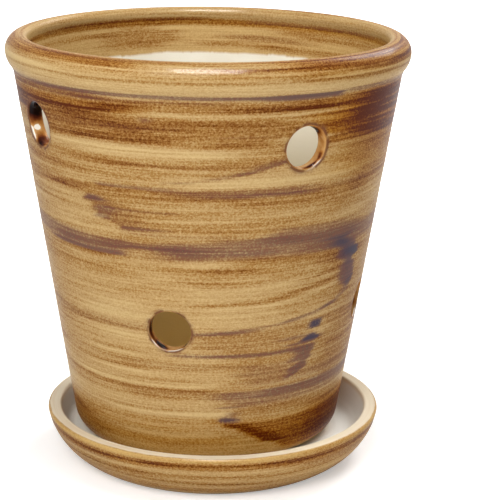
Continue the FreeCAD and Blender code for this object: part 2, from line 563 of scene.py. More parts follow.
def bore_rings(hole, clocks, way):
    """Rings through the wall along a way of (radius, depth)."""
    rings = []
    for radius, depth in way:
        share = min(1.0, max(0.0, depth / wall))
        ring = []
        for clock in clocks:
            # The shape takes only the positive thickness. The stored number also keeps the painted shade
            # high in the bore and the painted glints.
            thick = pooled_shade_and_glint(hole, math.degrees(clock), share)
            reach = radius - pool_depth * max(0.0, thick) * math.sin(math.pi * share)
            at = hole.height + reach * math.sin(clock)
            ring.append(pot_mesh.add(bore_point(hole, reach * math.cos(clock), at, share),
                                     at + share * (inner_brush(at) - at), -min(depth, wall - depth), thick))
        rings.append(ring)
    return rings


def way_through(lip, outwards):
    """The (radius, depth) steps over a lip and half way through the wall, or from there to the inside."""
    way = []
    for step in range(lip_steps + 1):
        angle = math.pi / 2 * step / lip_steps
        way.append((hole_radius + lip * (1 - math.sin(angle)), lip * (1 - math.cos(angle))))
    for step in range(1, bore_steps):
        way.append((hole_radius, lip + (wall / 2 - lip) * step / bore_steps))
    return [(radius, wall - depth) for radius, depth in reversed(way)] if outwards else way


for hole, middle_column, across_half, sides in squares:
    halves = []
    for through, (middle_row, up_half) in enumerate(sides):
        upward = -1 if through else 1
        edge = [grid[middle_row + upward * up][(middle_column + across) % columns]
                for across, up in square_steps(across_half, up_half)]
        places = seen_from_bore(hole, edge)
        clocks = clocks_of(places)
        shares = inner_patch_shares if through else outer_patch_shares
        patch = [edge] + patch_rings(hole, places, through, shares)
        bore = bore_rings(hole, clocks, way_through(hole.lip, outwards=through))
        rings = bore + patch[::-1] if through else patch + bore
        for first, second in zip(rings, rings[1:]):
            pot_mesh.band(first, second)
        halves.append((rings, clocks))
    (outer_rings, outer_clocks), (inner_rings, inner_clocks) = halves
    pot_mesh.stitch(outer_rings[-1], outer_clocks, inner_rings[0], inner_clocks)
print("Points gathered:", len(pot_mesh.points), "faces:", len(pot_mesh.faces))

# %% [markdown]
# ## The hand in the clay
#
# A pot off the wheel is never perfectly round. A slow unevenness of about a tenth of a millimetre
# bends its reflections just enough to look made by hand. It only ever moves the surface inwards, so
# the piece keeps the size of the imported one.

# %% Make the pot's object
middle = Vector((0, 0, 0))
drawn_inwards = 0.16
slow_wave, slow_wave_up, slow_share = 0.022, 1.6, 0.5
throwing_wave, throwing_wave_up, throwing_share = 0.004, 0.16, 0.35


def hand_worked(points, axis):
    """Points drawn a little towards an upright axis by a slow wave and faint throwing rings."""
    worked = []
    for point in points:
        out = Vector((point.x - axis.x, point.y - axis.y, 0))
        slow = noise.noise(Vector((point.x, point.y, point.z * slow_wave_up)) * slow_wave)
        rings = noise.noise(Vector((point.x * throwing_wave, point.y * throwing_wave,
                                    point.z * throwing_wave_up)))
        draw = drawn_inwards * (1 + slow_share * slow + throwing_share * rings) / rim_radius
        worked.append(point - out * draw)
    return worked


pot_mesh.points = hand_worked(pot_mesh.points, middle)
pot = pot_mesh.make("pot_glazed")
print("Pot:", len(pot.data.vertices), "points,", len(pot.data.polygons), "faces")

# %% [markdown]
# ## The saucer
#
# The saucer is turned as well, about its own axis, which stands a few millimetres off the pot's
# because nothing centres the pot in it. Its outline runs from the middle of the dish out to the lip,
# down the bowed side and back under to the middle. It stops just short of the axis at both ends, and
# a fan of faces closes it there. The brush coordinate is zero on the outer edge of the lip, and
# grows down the side.

# %% Draw the saucer's outline
saucer_axis = Vector(((saucer_low.x + saucer_high.x) / 2, (saucer_low.y + saucer_high.y) / 2, 0))
lip_radius = (saucer_high.x - saucer_low.x) / 2
lip_height = saucer_high.z
lip_width = 5.1
lip_edge_round = 1.1
band_height = 4.5
band_taper = 1.2
dish_taper = 3.4
dish_round = 4.0
saucer_foot_inset = 14.6
saucer_recess = 3.0
side_bow_share = 0.1
middle_gap = 0.4
dish_spacing = 0.7
under_spacing = 1.8
side_steps = 32
under_steps = 6

saucer_foot = Vector((lip_radius - saucer_foot_inset, 0.0))
band_foot = Vector((lip_radius - band_taper, lip_height - band_height))
side_way = band_foot - saucer_foot
side_corner = (saucer_foot + band_foot) / 2 + Vector((side_way.y, -side_way.x)) * side_bow_share * 2
dish_radius = lip_radius - lip_width - dish_taper
saucer_recess_radius = saucer_foot.x - foot_ring_width

dish_and_lip = run([
    (middle_gap, foot_height, 0),
    (dish_radius, foot_height, dish_round),
    (lip_radius - lip_width, lip_height, lip_edge_round),
    (lip_radius, lip_height, lip_edge_round),
    (band_foot.x, band_foot.y, 0)], steps=round_steps, spacing=dish_spacing)
foot_side = bend(band_foot, side_corner, saucer_foot, side_steps)
under = run([
    (saucer_foot.x, saucer_foot.y, 0),
    (saucer_recess_radius, 0, edge_round),
    (saucer_recess_radius, saucer_recess, edge_round),
    (middle_gap, saucer_recess, 0)], steps=under_steps, spacing=under_spacing)
saucer_outline = dish_and_lip + foot_side + under + [Vector((middle_gap, saucer_recess))]

edge_row = max(range(len(saucer_outline)), key=lambda row: saucer_outline[row].x + saucer_outline[row].y)
saucer_brush = brush_rows(saucer_outline, {edge_row: 0.0})
saucer_foot_brush = saucer_brush[len(dish_and_lip) + side_steps]
print("Saucer lip radius:", round(lip_radius, 1),
      "brush coordinate at its foot:", round(saucer_foot_brush, 1))

# %% Turn the saucer
saucer_mesh = Gathered()
saucer_rings = [
    [saucer_mesh.add(saucer_axis + turned_point(place.x, column * columns_turn, place.y), saucer_brush[row])
     for column in range(columns)]
    for row, place in enumerate(saucer_outline)]
for first, second in zip(saucer_rings, saucer_rings[1:]):
    saucer_mesh.band(second, first)
for ring, height in ((saucer_rings[0], foot_height), (saucer_rings[-1][::-1], saucer_recess)):
    hub = saucer_mesh.add(saucer_axis + Vector((0, 0, height)), saucer_brush[0])
    saucer_mesh.faces += [(ring[here - 1], ring[here], hub) for here in range(columns)]
saucer_mesh.points = hand_worked(saucer_mesh.points, saucer_axis)
saucer = saucer_mesh.make("saucer_glazed")
print("Saucer:", len(saucer.data.vertices), "points,", len(saucer.data.polygons), "faces")

# %% [markdown]
# ## Writing a finish as short sums
#
# A procedural material is a web of small nodes. Placing them one by one takes many lines, so this
# helper lets a finish be written almost like arithmetic. Each method adds one node or two and
# returns its output, which the next line uses.

# %% A helper that writes nodes
def linear(red, green, blue):
    """A colour written as it looks on screen, 0 to 255, turned into the renderer's own scale."""
    shares = (value / 255 for value in (red, green, blue))
    return tuple(share / 12.92 if share <= 0.04045 else ((share + 0.055) / 1.055) ** 2.4
                 for share in shares) + (1.0,)


class Web:
    """A node tree, written one sum at a time."""

    def __init__(self, tree):
        self.tree = tree

    def node(self, kind, values=(), **settings):
        made = self.tree.nodes.new(kind)
        for name, setting in settings.items():
            setattr(made, name, setting)
        for key, value in dict(values).items():
            self.plug(made.inputs[key], value)
        return made

    def plug(self, socket, value):
        if isinstance(value, bpy.types.NodeSocket):
            self.tree.links.new(value, socket)
        else:
            socket.default_value = value

    def sum(self, operation, *values, clamp=False):
        made = self.node("ShaderNodeMath", enumerate(values), operation=operation, use_clamp=clamp)
        return made.outputs[0]

    def times(self, first, second):
        return self.sum("MULTIPLY", first, second)

    def vary(self, amount, *parts):
        """An amount with shares of noise added, each centred on nothing."""
        for part, share in parts:
            amount = self.sum("MULTIPLY_ADD", self.sum("SUBTRACT", part, 0.5), share, amount)
        return amount

    def ease(self, value, low, high, start=0.0, end=1.0):
        """Goes smoothly from start to end while the value goes from low to high."""
        made = self.node("ShaderNodeMapRange", enumerate((value, low, high, start, end)),
                         interpolation_type="SMOOTHSTEP", clamp=False)
        return made.outputs[0]

    def fade(self, share, first, second):
        """Goes smoothly from first to second as the share goes from 0 to 1."""
        return self.ease(share, 0.0, 1.0, first, second)

    def place(self, x, y, z):
        return self.node("ShaderNodeCombineXYZ", enumerate((x, y, z))).outputs[0]

    def noise(self, vector, detail=2, roughness=0.5):
        """Soft random values from 0 to 1, about 0.5 on average."""
        made = self.node("ShaderNodeTexNoise", {
            "Vector": vector, "Scale": 1.0, "Detail": detail, "Roughness": roughness})
        return made.outputs[0]

    def attribute(self, name):
        return self.node("ShaderNodeAttribute", attribute_name=name).outputs["Fac"]

    def ramp(self, value, stops):
        """A colour that changes with the value through stops of (value, colour)."""
        made = self.node("ShaderNodeValToRGB", {0: value})
        elements = made.color_ramp.elements
        while len(elements) < len(stops):
            elements.new(0.5)
        for element, (at, colour) in zip(elements, stops):
            element.position, element.color = at, colour
        return made.outputs[0]

    def mix(self, share, first, second, blend="MIX"):
        """The first colour with a share of the second laid over it."""
        made = self.node("ShaderNodeMix", data_type="RGBA", blend_type=blend)
        values = {"Factor_Float": share, "A_Color": first, "B_Color": second}
        for socket in made.inputs:
            if socket.identifier in values:
                self.plug(socket, values[socket.identifier])
        return next(out for out in made.outputs if out.identifier == "Result_Color")


print("Middle grey in the renderer's scale:", [round(value, 3) for value in linear(128, 128, 128)])

# %% [markdown]
# ## The decorator's strokes on the pot
#
# Each stroke is one row of a table, so it can be read and moved by itself. A curve or a painted
# picture for each would be harder to change.
#
# Angles are in degrees round the pot from where the camera stands, growing to the right. Heights are
# brush coordinates in millimetres. The oxides say how much of each the stroke carries. A dry brush
# can also drag the brown coat off, which shows as a pale line, so brown may be less than nothing.
# The lean slants a stroke's ends, in degrees for each millimetre of height, and the fades say over
# how many degrees it begins and ends.

# %% One row of the table
Stroke = namedtuple(
    "Stroke", "start end at width brown plum slate honey slope lean fade_in fade_out top bottom ragged")


def stroke(start, end, at, width, brown=0.0, plum=0.0, slate=0.0, honey=0.0, slope=0.0, lean=0.0,
           fade_in=7.0, fade_out=7.0, edges=0.5, top=None, bottom=None, ragged=14.0):
    """A stroke from its first to its last degree. Its edges are alike unless top or bottom is given."""
    return Stroke(start, end, at, width, brown, plum, slate, honey, slope, lean, fade_in, fade_out,
                  edges if top is None else top, edges if bottom is None else bottom, ragged)


def all_round(at, width, **rest):
    """A stroke that goes all the way round and overlaps its own start."""
    return stroke(-200, 200, at, width, **rest)


def dragged(start, end, at, width, amount, **rest):
    """A pale line where the dry brush dragged the brown coat off."""
    return stroke(start, end, at, width, brown=-amount, **rest)


print("A stroke without oxides:", stroke(0, 10, 100.0, 1.0))

# %% Strokes under the rim, where the brown lies thickest
under_the_rim = [
    stroke(-56, 38, 149.2, 1.7, plum=0.66, slate=0.22, fade_in=12, fade_out=1.5, ragged=3),
    stroke(14, 38, 148.8, 2.4, plum=0.52, slate=0.22, fade_in=8, fade_out=1.2, ragged=3),
    stroke(-100, -52, 149.4, 2.4, plum=0.3, slate=0.12),
    stroke(38, 92, 149.8, 2.4, brown=0.15, plum=0.3, slate=0.32, fade_in=3, fade_out=12),
    stroke(44, 110, 147.0, 3.0, brown=0.3, honey=0.5, fade_in=10),
    stroke(-100, -30, 146.8, 1.6, brown=0.24, plum=0.24),
    stroke(-100, -30, 148.0, 3.0, brown=0.34, plum=0.2),
    stroke(-34, 2, 147.2, 1.4, brown=0.2, plum=0.28, fade_in=10),
    stroke(-100, -26, 144.2, 3.0, brown=0.56, honey=0.45, fade_out=8),
    stroke(-32, 34, 145.6, 3.0, brown=0.28, edges=1),
    stroke(-100, -36, 141.2, 4.0, brown=0.42, fade_out=14, edges=1),
    dragged(-34, 14, 143.0, 1.0, 0.2, fade_in=10, fade_out=10),
    stroke(-46, 20, 140.6, 2.6, brown=0.3, edges=0.8), stroke(-40, 30, 142.4, 2.6, brown=0.1, edges=1),
    stroke(-21, -17, 141.0, 1.8, plum=0.45, fade_in=2, fade_out=2, ragged=2),
    stroke(-100, -12, 138.0, 2.6, brown=0.34, plum=0.18, fade_out=12, edges=1),
    stroke(-30, 22, 137.4, 5.0, brown=0.2, edges=1.2),
    stroke(-90, -8, 134.7, 2.8, brown=0.3, top=1, bottom=0.6),
    stroke(-66, -32, 137.0, 5.0, brown=0.18, edges=1.5),
    stroke(2, 24, 134.5, 6.0, brown=0.2, fade_in=12, edges=2), stroke(0, 16, 136.0, 0.8, plum=0.3),
    stroke(12, 110, 144.6, 1.6, brown=0.3, fade_in=14),
    stroke(30, 96, 140.8, 12.0, brown=0.34, honey=0.75, fade_in=9, fade_out=26, top=2, bottom=1.6,
           ragged=22),
    stroke(40, 84, 139.8, 11.0, brown=0.2, honey=0.5, fade_in=10, fade_out=20, edges=2, ragged=18),
    stroke(46, 90, 130.0, 40.0, brown=0.2, honey=0.25, fade_in=8, fade_out=24, edges=6),
    stroke(47, 96, 141.0, 18.0, brown=0.1, honey=0.3, fade_in=4, fade_out=30, edges=3),
    dragged(48, 96, 143.8, 1.0, 0.34, slope=-0.03), dragged(56, 100, 140.6, 0.8, 0.4, slope=-0.03),
    dragged(52, 92, 137.4, 1.1, 0.36, slope=-0.03), dragged(60, 104, 134.6, 0.8, 0.3, slope=-0.03),
    stroke(34, 80, 133.0, 3.6, brown=0.5, honey=0.6, fade_in=6, fade_out=24, top=1, bottom=0.6,
           ragged=20)]
print("Strokes under the rim:", len(under_the_rim))

# %% Strokes between the upper holes and the first plum line
upper_wall = [
    dragged(-50, 14, 131.0, 0.7, 0.26), dragged(-40, 4, 129.6, 0.5, 0.22),
    dragged(-34, -6, 128.4, 0.5, 0.2), dragged(-46, -4, 132.2, 0.5, 0.15),
    stroke(-46, -28, 126.0, 2.4, brown=0.12, top=1), stroke(-56, 24, 133.4, 2.4, brown=0.2, edges=1),
    stroke(-72, -8, 121.6, 6.0, brown=0.2, fade_out=14, edges=2),
    stroke(36, 110, 125.0, 12.0, brown=0.1, honey=0.25, edges=3),
    stroke(10, 30, 129.6, 5.0, brown=0.16, edges=2), stroke(-60, 14, 126.4, 3.5, brown=0.12, edges=1.5),
    stroke(-26, 6, 125.5, 0.8, brown=0.34, plum=0.26),
    stroke(-14, 5, 120.1, 0.9, brown=0.2, plum=0.44, slope=0.1, bottom=0.4),
    stroke(0, 17, 122.6, 1.1, brown=0.2, plum=0.46, slope=0.15, top=1.2, bottom=0.4),
    stroke(12, 24, 125.6, 2.2, brown=0.24, plum=0.5, slope=0.27, fade_out=2, top=1.6, bottom=0.5),
    stroke(0, 23, 126.5, 4.5, brown=0.08, plum=0.03, slope=0.2, top=2.5, bottom=1),
    dragged(-14, 66, 120.6, 3.6, 0.12, slope=0.03, fade_in=10, fade_out=20, top=1.4, bottom=0.8),
    stroke(-39, -8, 117.0, 1.2, brown=0.1, plum=0.56, fade_in=2),
    stroke(-8, 36, 115.8, 3.4, brown=0.2, plum=0.4, fade_in=10, fade_out=8, top=0.5, bottom=1.4),
    stroke(30, 100, 116.2, 2.4, brown=0.18, plum=0.2, fade_in=8),
    stroke(4, 34, 115.0, 1.4, brown=0.1, plum=0.28, fade_in=8),
    stroke(-52, 6, 114.4, 4.4, brown=0.22, plum=0.05, fade_in=6, fade_out=12, edges=1),
    stroke(-110, -44, 115.2, 4.2, brown=0.16, plum=0.12, edges=1.2)]
print("Strokes on the upper wall:", len(upper_wall))

# %% [markdown]
# ## The middle and lower wall
#
# Two things mark the middle. A brown patch starts at a ragged slanting edge at the left, and a broad
# plum band crosses the whole pot and ends at the right in a curl of slate blue. Below them the
# strokes are thinner, with two blots where the brush was set down.

# %% Strokes of the slanting edge and the plum band
middle_wall = [
    stroke(-35, 58, 106.2, 11.8, brown=0.13, plum=0.04, lean=-1.15, fade_in=1.4, fade_out=16,
           edges=2, ragged=7),
    stroke(-35, -24, 106.0, 11.6, brown=0.16, plum=0.22, lean=-1.15, fade_in=1.0, fade_out=8,
           edges=1, ragged=7),
    stroke(-41, -34, 111.2, 2.0, plum=0.75, slate=0.12, fade_in=1.6, fade_out=3, edges=0.8, ragged=5),
    stroke(-37.5, -33, 104.8, 1.8, plum=0.6, fade_in=1.6, fade_out=3, edges=0.7, ragged=5),
    stroke(-36, -32, 107.6, 2.4, plum=0.35, fade_in=1.6, fade_out=3, edges=0.7, ragged=5),
    stroke(-32, -10, 108.0, 0.9, brown=0.2, plum=0.34, fade_in=3, fade_out=3, ragged=6),
    stroke(-30, -10, 101.4, 1.2, brown=0.1, plum=0.44, fade_in=1.5, ragged=6),
    dragged(-22, 8, 110.0, 0.7, 0.18), dragged(-18, 6, 105.0, 0.7, 0.2),
    dragged(-12, 4, 100.2, 0.7, 0.2), dragged(-4, 30, 107.0, 1.0, 0.1),
    dragged(5, 44, 110.6, 1.4, 0.1, top=1), dragged(42, 66, 111.6, 0.9, 0.24),
    dragged(30, 64, 104.2, 0.9, 0.24), dragged(-92, -42, 101.5, 5.0, 0.06, edges=1.5),
    dragged(-90, -44, 110.8, 0.7, 0.15), stroke(-90, -40, 107.4, 0.7, brown=0.12),
    stroke(-90, -32, 101.2, 0.9, brown=0.15),
    stroke(-120, -46, 95.2, 5.6, brown=0.1, plum=0.56, fade_out=14, edges=1.4),
    stroke(-60, -27, 92.0, 1.3, plum=0.7, slate=0.2, fade_out=3, ragged=5),
    stroke(-60, -30, 90.6, 1.0, brown=0.3), stroke(-40, 0, 93.6, 6.0, brown=0.1, plum=0.14, edges=2),
    stroke(-50, -16, 98.4, 0.8, brown=0.16),
    stroke(-16, 110, 94.8, 6.2, brown=0.1, plum=0.54, slope=0.01, fade_in=9, fade_out=20, top=1.6,
           bottom=1.8),
    stroke(-30, 12, 99.4, 1.6, brown=0.06, plum=0.2, fade_in=4),
    stroke(-16, 8, 93.6, 4.0, brown=0.08, plum=0.04, slate=0.16, edges=1.4),
    stroke(-36, -8, 95.4, 4.0, brown=0.12, plum=0.16, edges=1.4),
    stroke(4, 60, 112.6, 4.4, brown=0.24, plum=0.05, edges=1.4),
    stroke(14, 60, 97.6, 4.0, brown=0.06, plum=0.24, edges=1.2),
    stroke(-54, -24, 94.2, 5.0, brown=0.1, plum=0.4, fade_out=5, edges=1.4),
    stroke(6, 24, 93.6, 1.6, plum=0.26),
    stroke(16, 58, 100.4, 3.6, brown=0.08, plum=0.46, top=1.2, bottom=1.6),
    stroke(0, 60, 97.4, 2.4, plum=0.14, top=1),
    stroke(30, 60, 92.4, 3.4, brown=0.15, plum=0.16, edges=1.5),
    stroke(8, 66, 90.0, 2.4, brown=0.26, slope=-0.03, edges=1),
    stroke(42, 58, 94.2, 4.6, plum=0.3, slate=0.5, fade_in=6, fade_out=4, edges=1.2)]
print("Strokes on the middle wall:", len(middle_wall))

# %% Strokes of the curl and its tail
curled_end = [
    stroke(49, 61, 90.6, 5.0, plum=0.44, slate=0.5, slope=-0.35, fade_in=5, fade_out=2.4, edges=2,
           ragged=6),
    stroke(53, 61, 86.0, 7.0, plum=0.55, slate=0.56, fade_in=4, fade_out=2.2, edges=2.5, ragged=5),
    stroke(53.5, 60.5, 78.5, 8.0, plum=0.45, slate=0.34, fade_in=4, fade_out=2, edges=2, ragged=5),
    stroke(54.5, 60.5, 74.4, 3.0, plum=0.62, slate=0.36, slope=0.3, fade_in=3, fade_out=1.6, ragged=4),
    stroke(46, 59, 70.4, 1.6, plum=0.52, slope=0.3, fade_in=4, fade_out=2, edges=0.6),
    stroke(32, 50, 67.4, 1.1, brown=0.1, plum=0.52, slope=0.13, fade_in=5, fade_out=4),
    stroke(8, 36, 64.9, 1.0, brown=0.12, plum=0.4, slope=0.07),
    stroke(-4, 14, 63.2, 1.2, brown=0.1, plum=0.48, slope=0.05),
    stroke(44, 58, 85.0, 10.0, brown=0.2, plum=0.12, fade_in=6, fade_out=3, edges=3),
    stroke(52.5, 60.5, 83.0, 18.0, brown=0.1, plum=0.56, fade_in=3, fade_out=1.8, edges=3, ragged=6),
    stroke(26, 58, 78.4, 1.6, brown=0.24, plum=0.04, slope=0.15),
    stroke(-2, 34, 74.8, 1.3, brown=0.2, slope=0.03), stroke(36, 56, 82.6, 1.4, brown=0.18, slope=0.14),
    dragged(26, 54, 75.6, 1.0, 0.2, slope=0.13), dragged(-2, 32, 73.2, 1.0, 0.18, slope=0.03),
    dragged(-4, 30, 79.5, 4.6, 0.08, edges=2), dragged(-4, 46, 70.4, 0.8, 0.15, slope=0.05),
    dragged(-6, 10, 89.4, 0.8, 0.24), stroke(-9, 3, 85.2, 5.5, brown=0.13, fade_in=3, edges=2),
    dragged(20, 50, 87.4, 0.9, 0.2, slope=0.03)]
print("Strokes of the curl:", len(curled_end))

# %% Strokes on the lower wall
lower_wall = [
    stroke(-80, -20, 64.2, 3.8, brown=0.1, plum=0.2, fade_out=3, edges=1.4),
    stroke(-64, -21, 63.0, 0.8, brown=0.2, plum=0.16), stroke(-70, -20, 78.0, 0.7, brown=0.14),
    stroke(-4, 42, 60.2, 9.0, brown=0.16, plum=0.17, edges=2),
    dragged(-44, -18, 70.0, 9.0, 0.1, edges=3), stroke(-110, -24, 86.5, 7.0, brown=0.12, edges=2),
    stroke(-20, 60, 87.6, 2.4, brown=0.12, edges=1), stroke(0, 100, 98.2, 2.0, brown=0.08, plum=0.14),
    stroke(26, 62, 72.6, 5.0, brown=0.2, slope=0.08, edges=2),
    stroke(4, 52, 85.6, 7.0, brown=0.16, edges=2),
    stroke(2, 54, 77.0, 3.0, brown=0.04, slope=0.06, edges=1),
    stroke(6, 60, 43.0, 8.0, brown=0.12, plum=0.12, edges=2),
    stroke(4, 60, 52.4, 8.0, brown=0.16, plum=0.08, edges=1.4),
    stroke(-72, -40, 60.4, 6.0, brown=0.12, edges=2),
    stroke(14, 100, 43.8, 4.0, brown=0.12, plum=0.22, edges=1.2),
    stroke(39.2, 43.8, 62.2, 2.8, plum=0.9, slate=1.05, fade_in=2.0, fade_out=1.6, edges=1.2, ragged=4),
    stroke(38.2, 43.2, 57.4, 2.4, plum=0.9, slate=1.0, fade_in=2.0, fade_out=1.6, edges=1.1, ragged=4),
    stroke(28, 39, 58.6, 1.0, plum=0.55, fade_in=5),
    stroke(29, 40, 55.8, 1.4, plum=0.6, slope=0.1, fade_in=4),
    stroke(-16, 43, 54.0, 1.5, brown=0.1, plum=0.66, fade_out=3),
    stroke(34, 43.5, 51.6, 5.0, plum=0.78, slate=0.1, lean=0.3, fade_in=4, fade_out=1.4, top=1.2,
           bottom=1.4, ragged=4),
    stroke(33, 41, 46.4, 3.6, plum=0.72, slope=0.45, fade_in=3, fade_out=1.6, ragged=4),
    stroke(10, 38, 48.0, 4.4, brown=0.12, plum=0.28, fade_out=5, edges=1.2),
    stroke(-36, 4, 49.6, 3.0, brown=0.12, plum=0.16, top=1),
    stroke(-48, -22, 54.2, 0.8, brown=0.2, plum=0.1), dragged(-50, -24, 52.6, 0.8, 0.2),
    stroke(-50, -26, 50.0, 1.6, brown=0.12, plum=0.06),
    stroke(-52, -24, 47.6, 1.0, brown=0.26, plum=0.06), dragged(-54, -22, 46.2, 0.7, 0.2),
    dragged(-60, -22, 58.6, 0.6, 0.18), dragged(-60, -24, 60.3, 0.6, 0.18),
    stroke(-30, -3, 43.8, 0.8, brown=0.22),
    stroke(46, 120, 62.0, 9.0, brown=0.2, plum=0.14, fade_in=5, edges=3),
    stroke(56, 150, 72.0, 62.0, brown=0.19, fade_in=12, edges=8),
    stroke(-140, -56, 84.0, 84.0, brown=0.12, fade_out=14, edges=8),
    stroke(46, 120, 50.0, 9.0, brown=0.16, plum=0.08, fade_in=6, edges=3),
    dragged(43, 64, 65.6, 0.9, 0.15), dragged(-60, 4, 41.6, 0.9, 0.24),
    dragged(12, 66, 42.2, 0.9, 0.24, slope=0.02), stroke(-70, 6, 40.3, 1.2, brown=0.28, plum=0.1),
    stroke(-34, 14, 38.6, 2.6, brown=0.14, plum=0.18, top=0.8),
    dragged(9, 23, 38.3, 0.7, 0.2, fade_in=3, fade_out=3),
    stroke(4, 100, 37.4, 6.4, brown=0.12, plum=0.46, slope=0.02, fade_in=8, top=0.8, bottom=1.4),
    stroke(22, 90, 38.6, 3.6, plum=0.24, slate=0.08, fade_in=6),
    stroke(3, 12, 33.6, 1.4, plum=0.45, fade_in=2),
    stroke(9, 70, 31.6, 4.4, brown=0.2, plum=0.12, fade_in=2, edges=1.2, ragged=4),
    stroke(-80, 0, 37.2, 5.0, brown=0.08, edges=1.5), stroke(-36, -9, 32.1, 0.8, brown=0.16),
    dragged(-40, 8.5, 30.8, 1.3, 0.24, fade_out=1.5, ragged=4)]
print("Strokes on the lower wall:", len(lower_wall))

# %% Strokes at the foot, with a dark patch that starts at a slant
foot = [
    all_round(13.5, 19.0, brown=0.05, honey=0.5, top=5, bottom=2),
    stroke(-60, 0, 24.8, 1.8, brown=0.06, honey=0.2), stroke(-80, 10, 20.0, 2.2, brown=0.09, honey=0.2),
    dragged(-30, 6, 22.4, 0.9, 0.12), stroke(-60, -16, 27.4, 1.4, brown=0.08),
    stroke(17.4, 150, 20.2, 14.0, brown=0.32, honey=0.5, lean=-2.12, fade_in=1.8, fade_out=30,
           top=2.6, bottom=3, ragged=5),
    stroke(17.0, 24, 21.0, 12.6, brown=0.36, plum=0.04, honey=0.3, lean=-2.12, fade_in=1.2,
           fade_out=6, top=1, bottom=2.5, ragged=5),
    stroke(7, 12, 30.6, 2.0, plum=0.4, fade_in=1.6, fade_out=4, ragged=3),
    stroke(4.6, 12, 28.2, 2.2, plum=1.0, slate=0.6, slope=-0.1, fade_in=2, fade_out=4, edges=1,
           ragged=3),
    dragged(18, 56, 27.2, 0.9, 0.15, slope=0.05),
    stroke(40, 150, 21, 18, brown=0.32, honey=0.5, fade_in=14, edges=3),
    stroke(-120, -46, 20.0, 14.0, brown=0.26, fade_out=16, top=3, bottom=2),
    stroke(-200, 8, 27.6, 3.4, brown=0.05, honey=0.15, top=0.8, bottom=1)]
print("Strokes at the foot:", len(foot))

# %% [markdown]
# ## The strokes that can't be seen from the front
#
# The same decorator went on round the back, so the back gets strokes of the same kinds: broad bands
# with ragged starts, thin plum lines and pale lines where the brush ran dry. The roll of the rim and
# the band inside it have a few of their own. Their brush coordinates lie above the neck's.

# %% Strokes for the back
back_wall = [
    stroke(84, 246, 146.6, 2.4, brown=0.31, plum=0.2),
    stroke(96, 210, 149.8, 2.0, plum=0.62, slate=0.22, fade_in=2),
    stroke(205, 285, 149.9, 1.8, plum=0.5, slate=0.2), dragged(150, 262, 143.4, 1.6, 0.2),
    stroke(84, 190, 139.6, 5.4, brown=0.33, honey=0.15, fade_out=14, top=1.6, bottom=1.2),
    stroke(186, 296, 140.2, 4.2, brown=0.27, plum=0.12, fade_in=2, ragged=8),
    stroke(120, 200, 134.6, 1.1, brown=0.28, plum=0.14), dragged(130, 232, 130.4, 0.8, 0.25),
    stroke(206, 300, 128.6, 3.4, brown=0.19, edges=1.4),
    stroke(100, 168, 125.6, 3.0, brown=0.2, plum=0.3, slope=0.05, fade_in=2, ragged=8),
    dragged(160, 250, 122.6, 4.4, 0.14, edges=1),
    stroke(150, 286, 117.0, 1.2, brown=0.08, plum=0.52, fade_in=2),
    stroke(118, 262, 113.6, 5.2, brown=0.25, plum=0.2, lean=-0.9, fade_in=1.6, top=1, bottom=1.4,
           ragged=9),
    stroke(116, 127, 115.4, 2.2, plum=0.66, slate=0.25, fade_in=1, ragged=4),
    dragged(92, 176, 106.4, 1.0, 0.19), stroke(140, 262, 103.2, 2.4, brown=0.23, plum=0.1),
    stroke(96, 250, 96.4, 6.8, brown=0.08, plum=0.46, top=1.4, bottom=1.2),
    stroke(170, 262, 92.4, 1.8, plum=0.44, slate=0.14, fade_in=3),
    stroke(96, 200, 88.4, 3.0, brown=0.19, edges=1.2), dragged(190, 276, 84.0, 1.0, 0.19),
    stroke(150, 238, 80.0, 4.6, brown=0.17, plum=0.06, edges=2),
    stroke(100, 196, 75.8, 1.2, brown=0.23, plum=0.12, slope=0.03),
    stroke(196, 204, 74.6, 3.2, plum=0.6, slate=0.6, fade_in=2, fade_out=1, edges=0.8, ragged=4),
    stroke(160, 202, 73.0, 1.3, plum=0.46),
    stroke(88, 214, 66.2, 3.6, brown=0.23, plum=0.14, fade_in=8, edges=1),
    dragged(208, 280, 68.4, 2.2, 0.13, edges=1), stroke(120, 250, 58.6, 1.2, brown=0.08, plum=0.5),
    stroke(100, 190, 54.4, 5.8, brown=0.22, plum=0.16, fade_out=3, edges=1.4, ragged=8),
    stroke(182, 192, 55.0, 3.6, plum=0.55, slate=0.3, fade_in=4, fade_out=1, ragged=4),
    stroke(176, 286, 49.0, 3.2, brown=0.2), dragged(110, 240, 45.0, 0.9, 0.22),
    stroke(84, 290, 41.0, 1.3, brown=0.27, plum=0.18),
    stroke(120, 226, 36.8, 4.6, brown=0.09, plum=0.42, fade_out=3, top=1, bottom=1.4, ragged=8),
    dragged(214, 296, 34.4, 4.4, 0.09, edges=1.4), dragged(130, 290, 30.4, 1.1, 0.19),
    stroke(150, 300, 23.6, 3.0, brown=0.23, honey=0.2, edges=1)]
print("Strokes on the back:", len(back_wall))

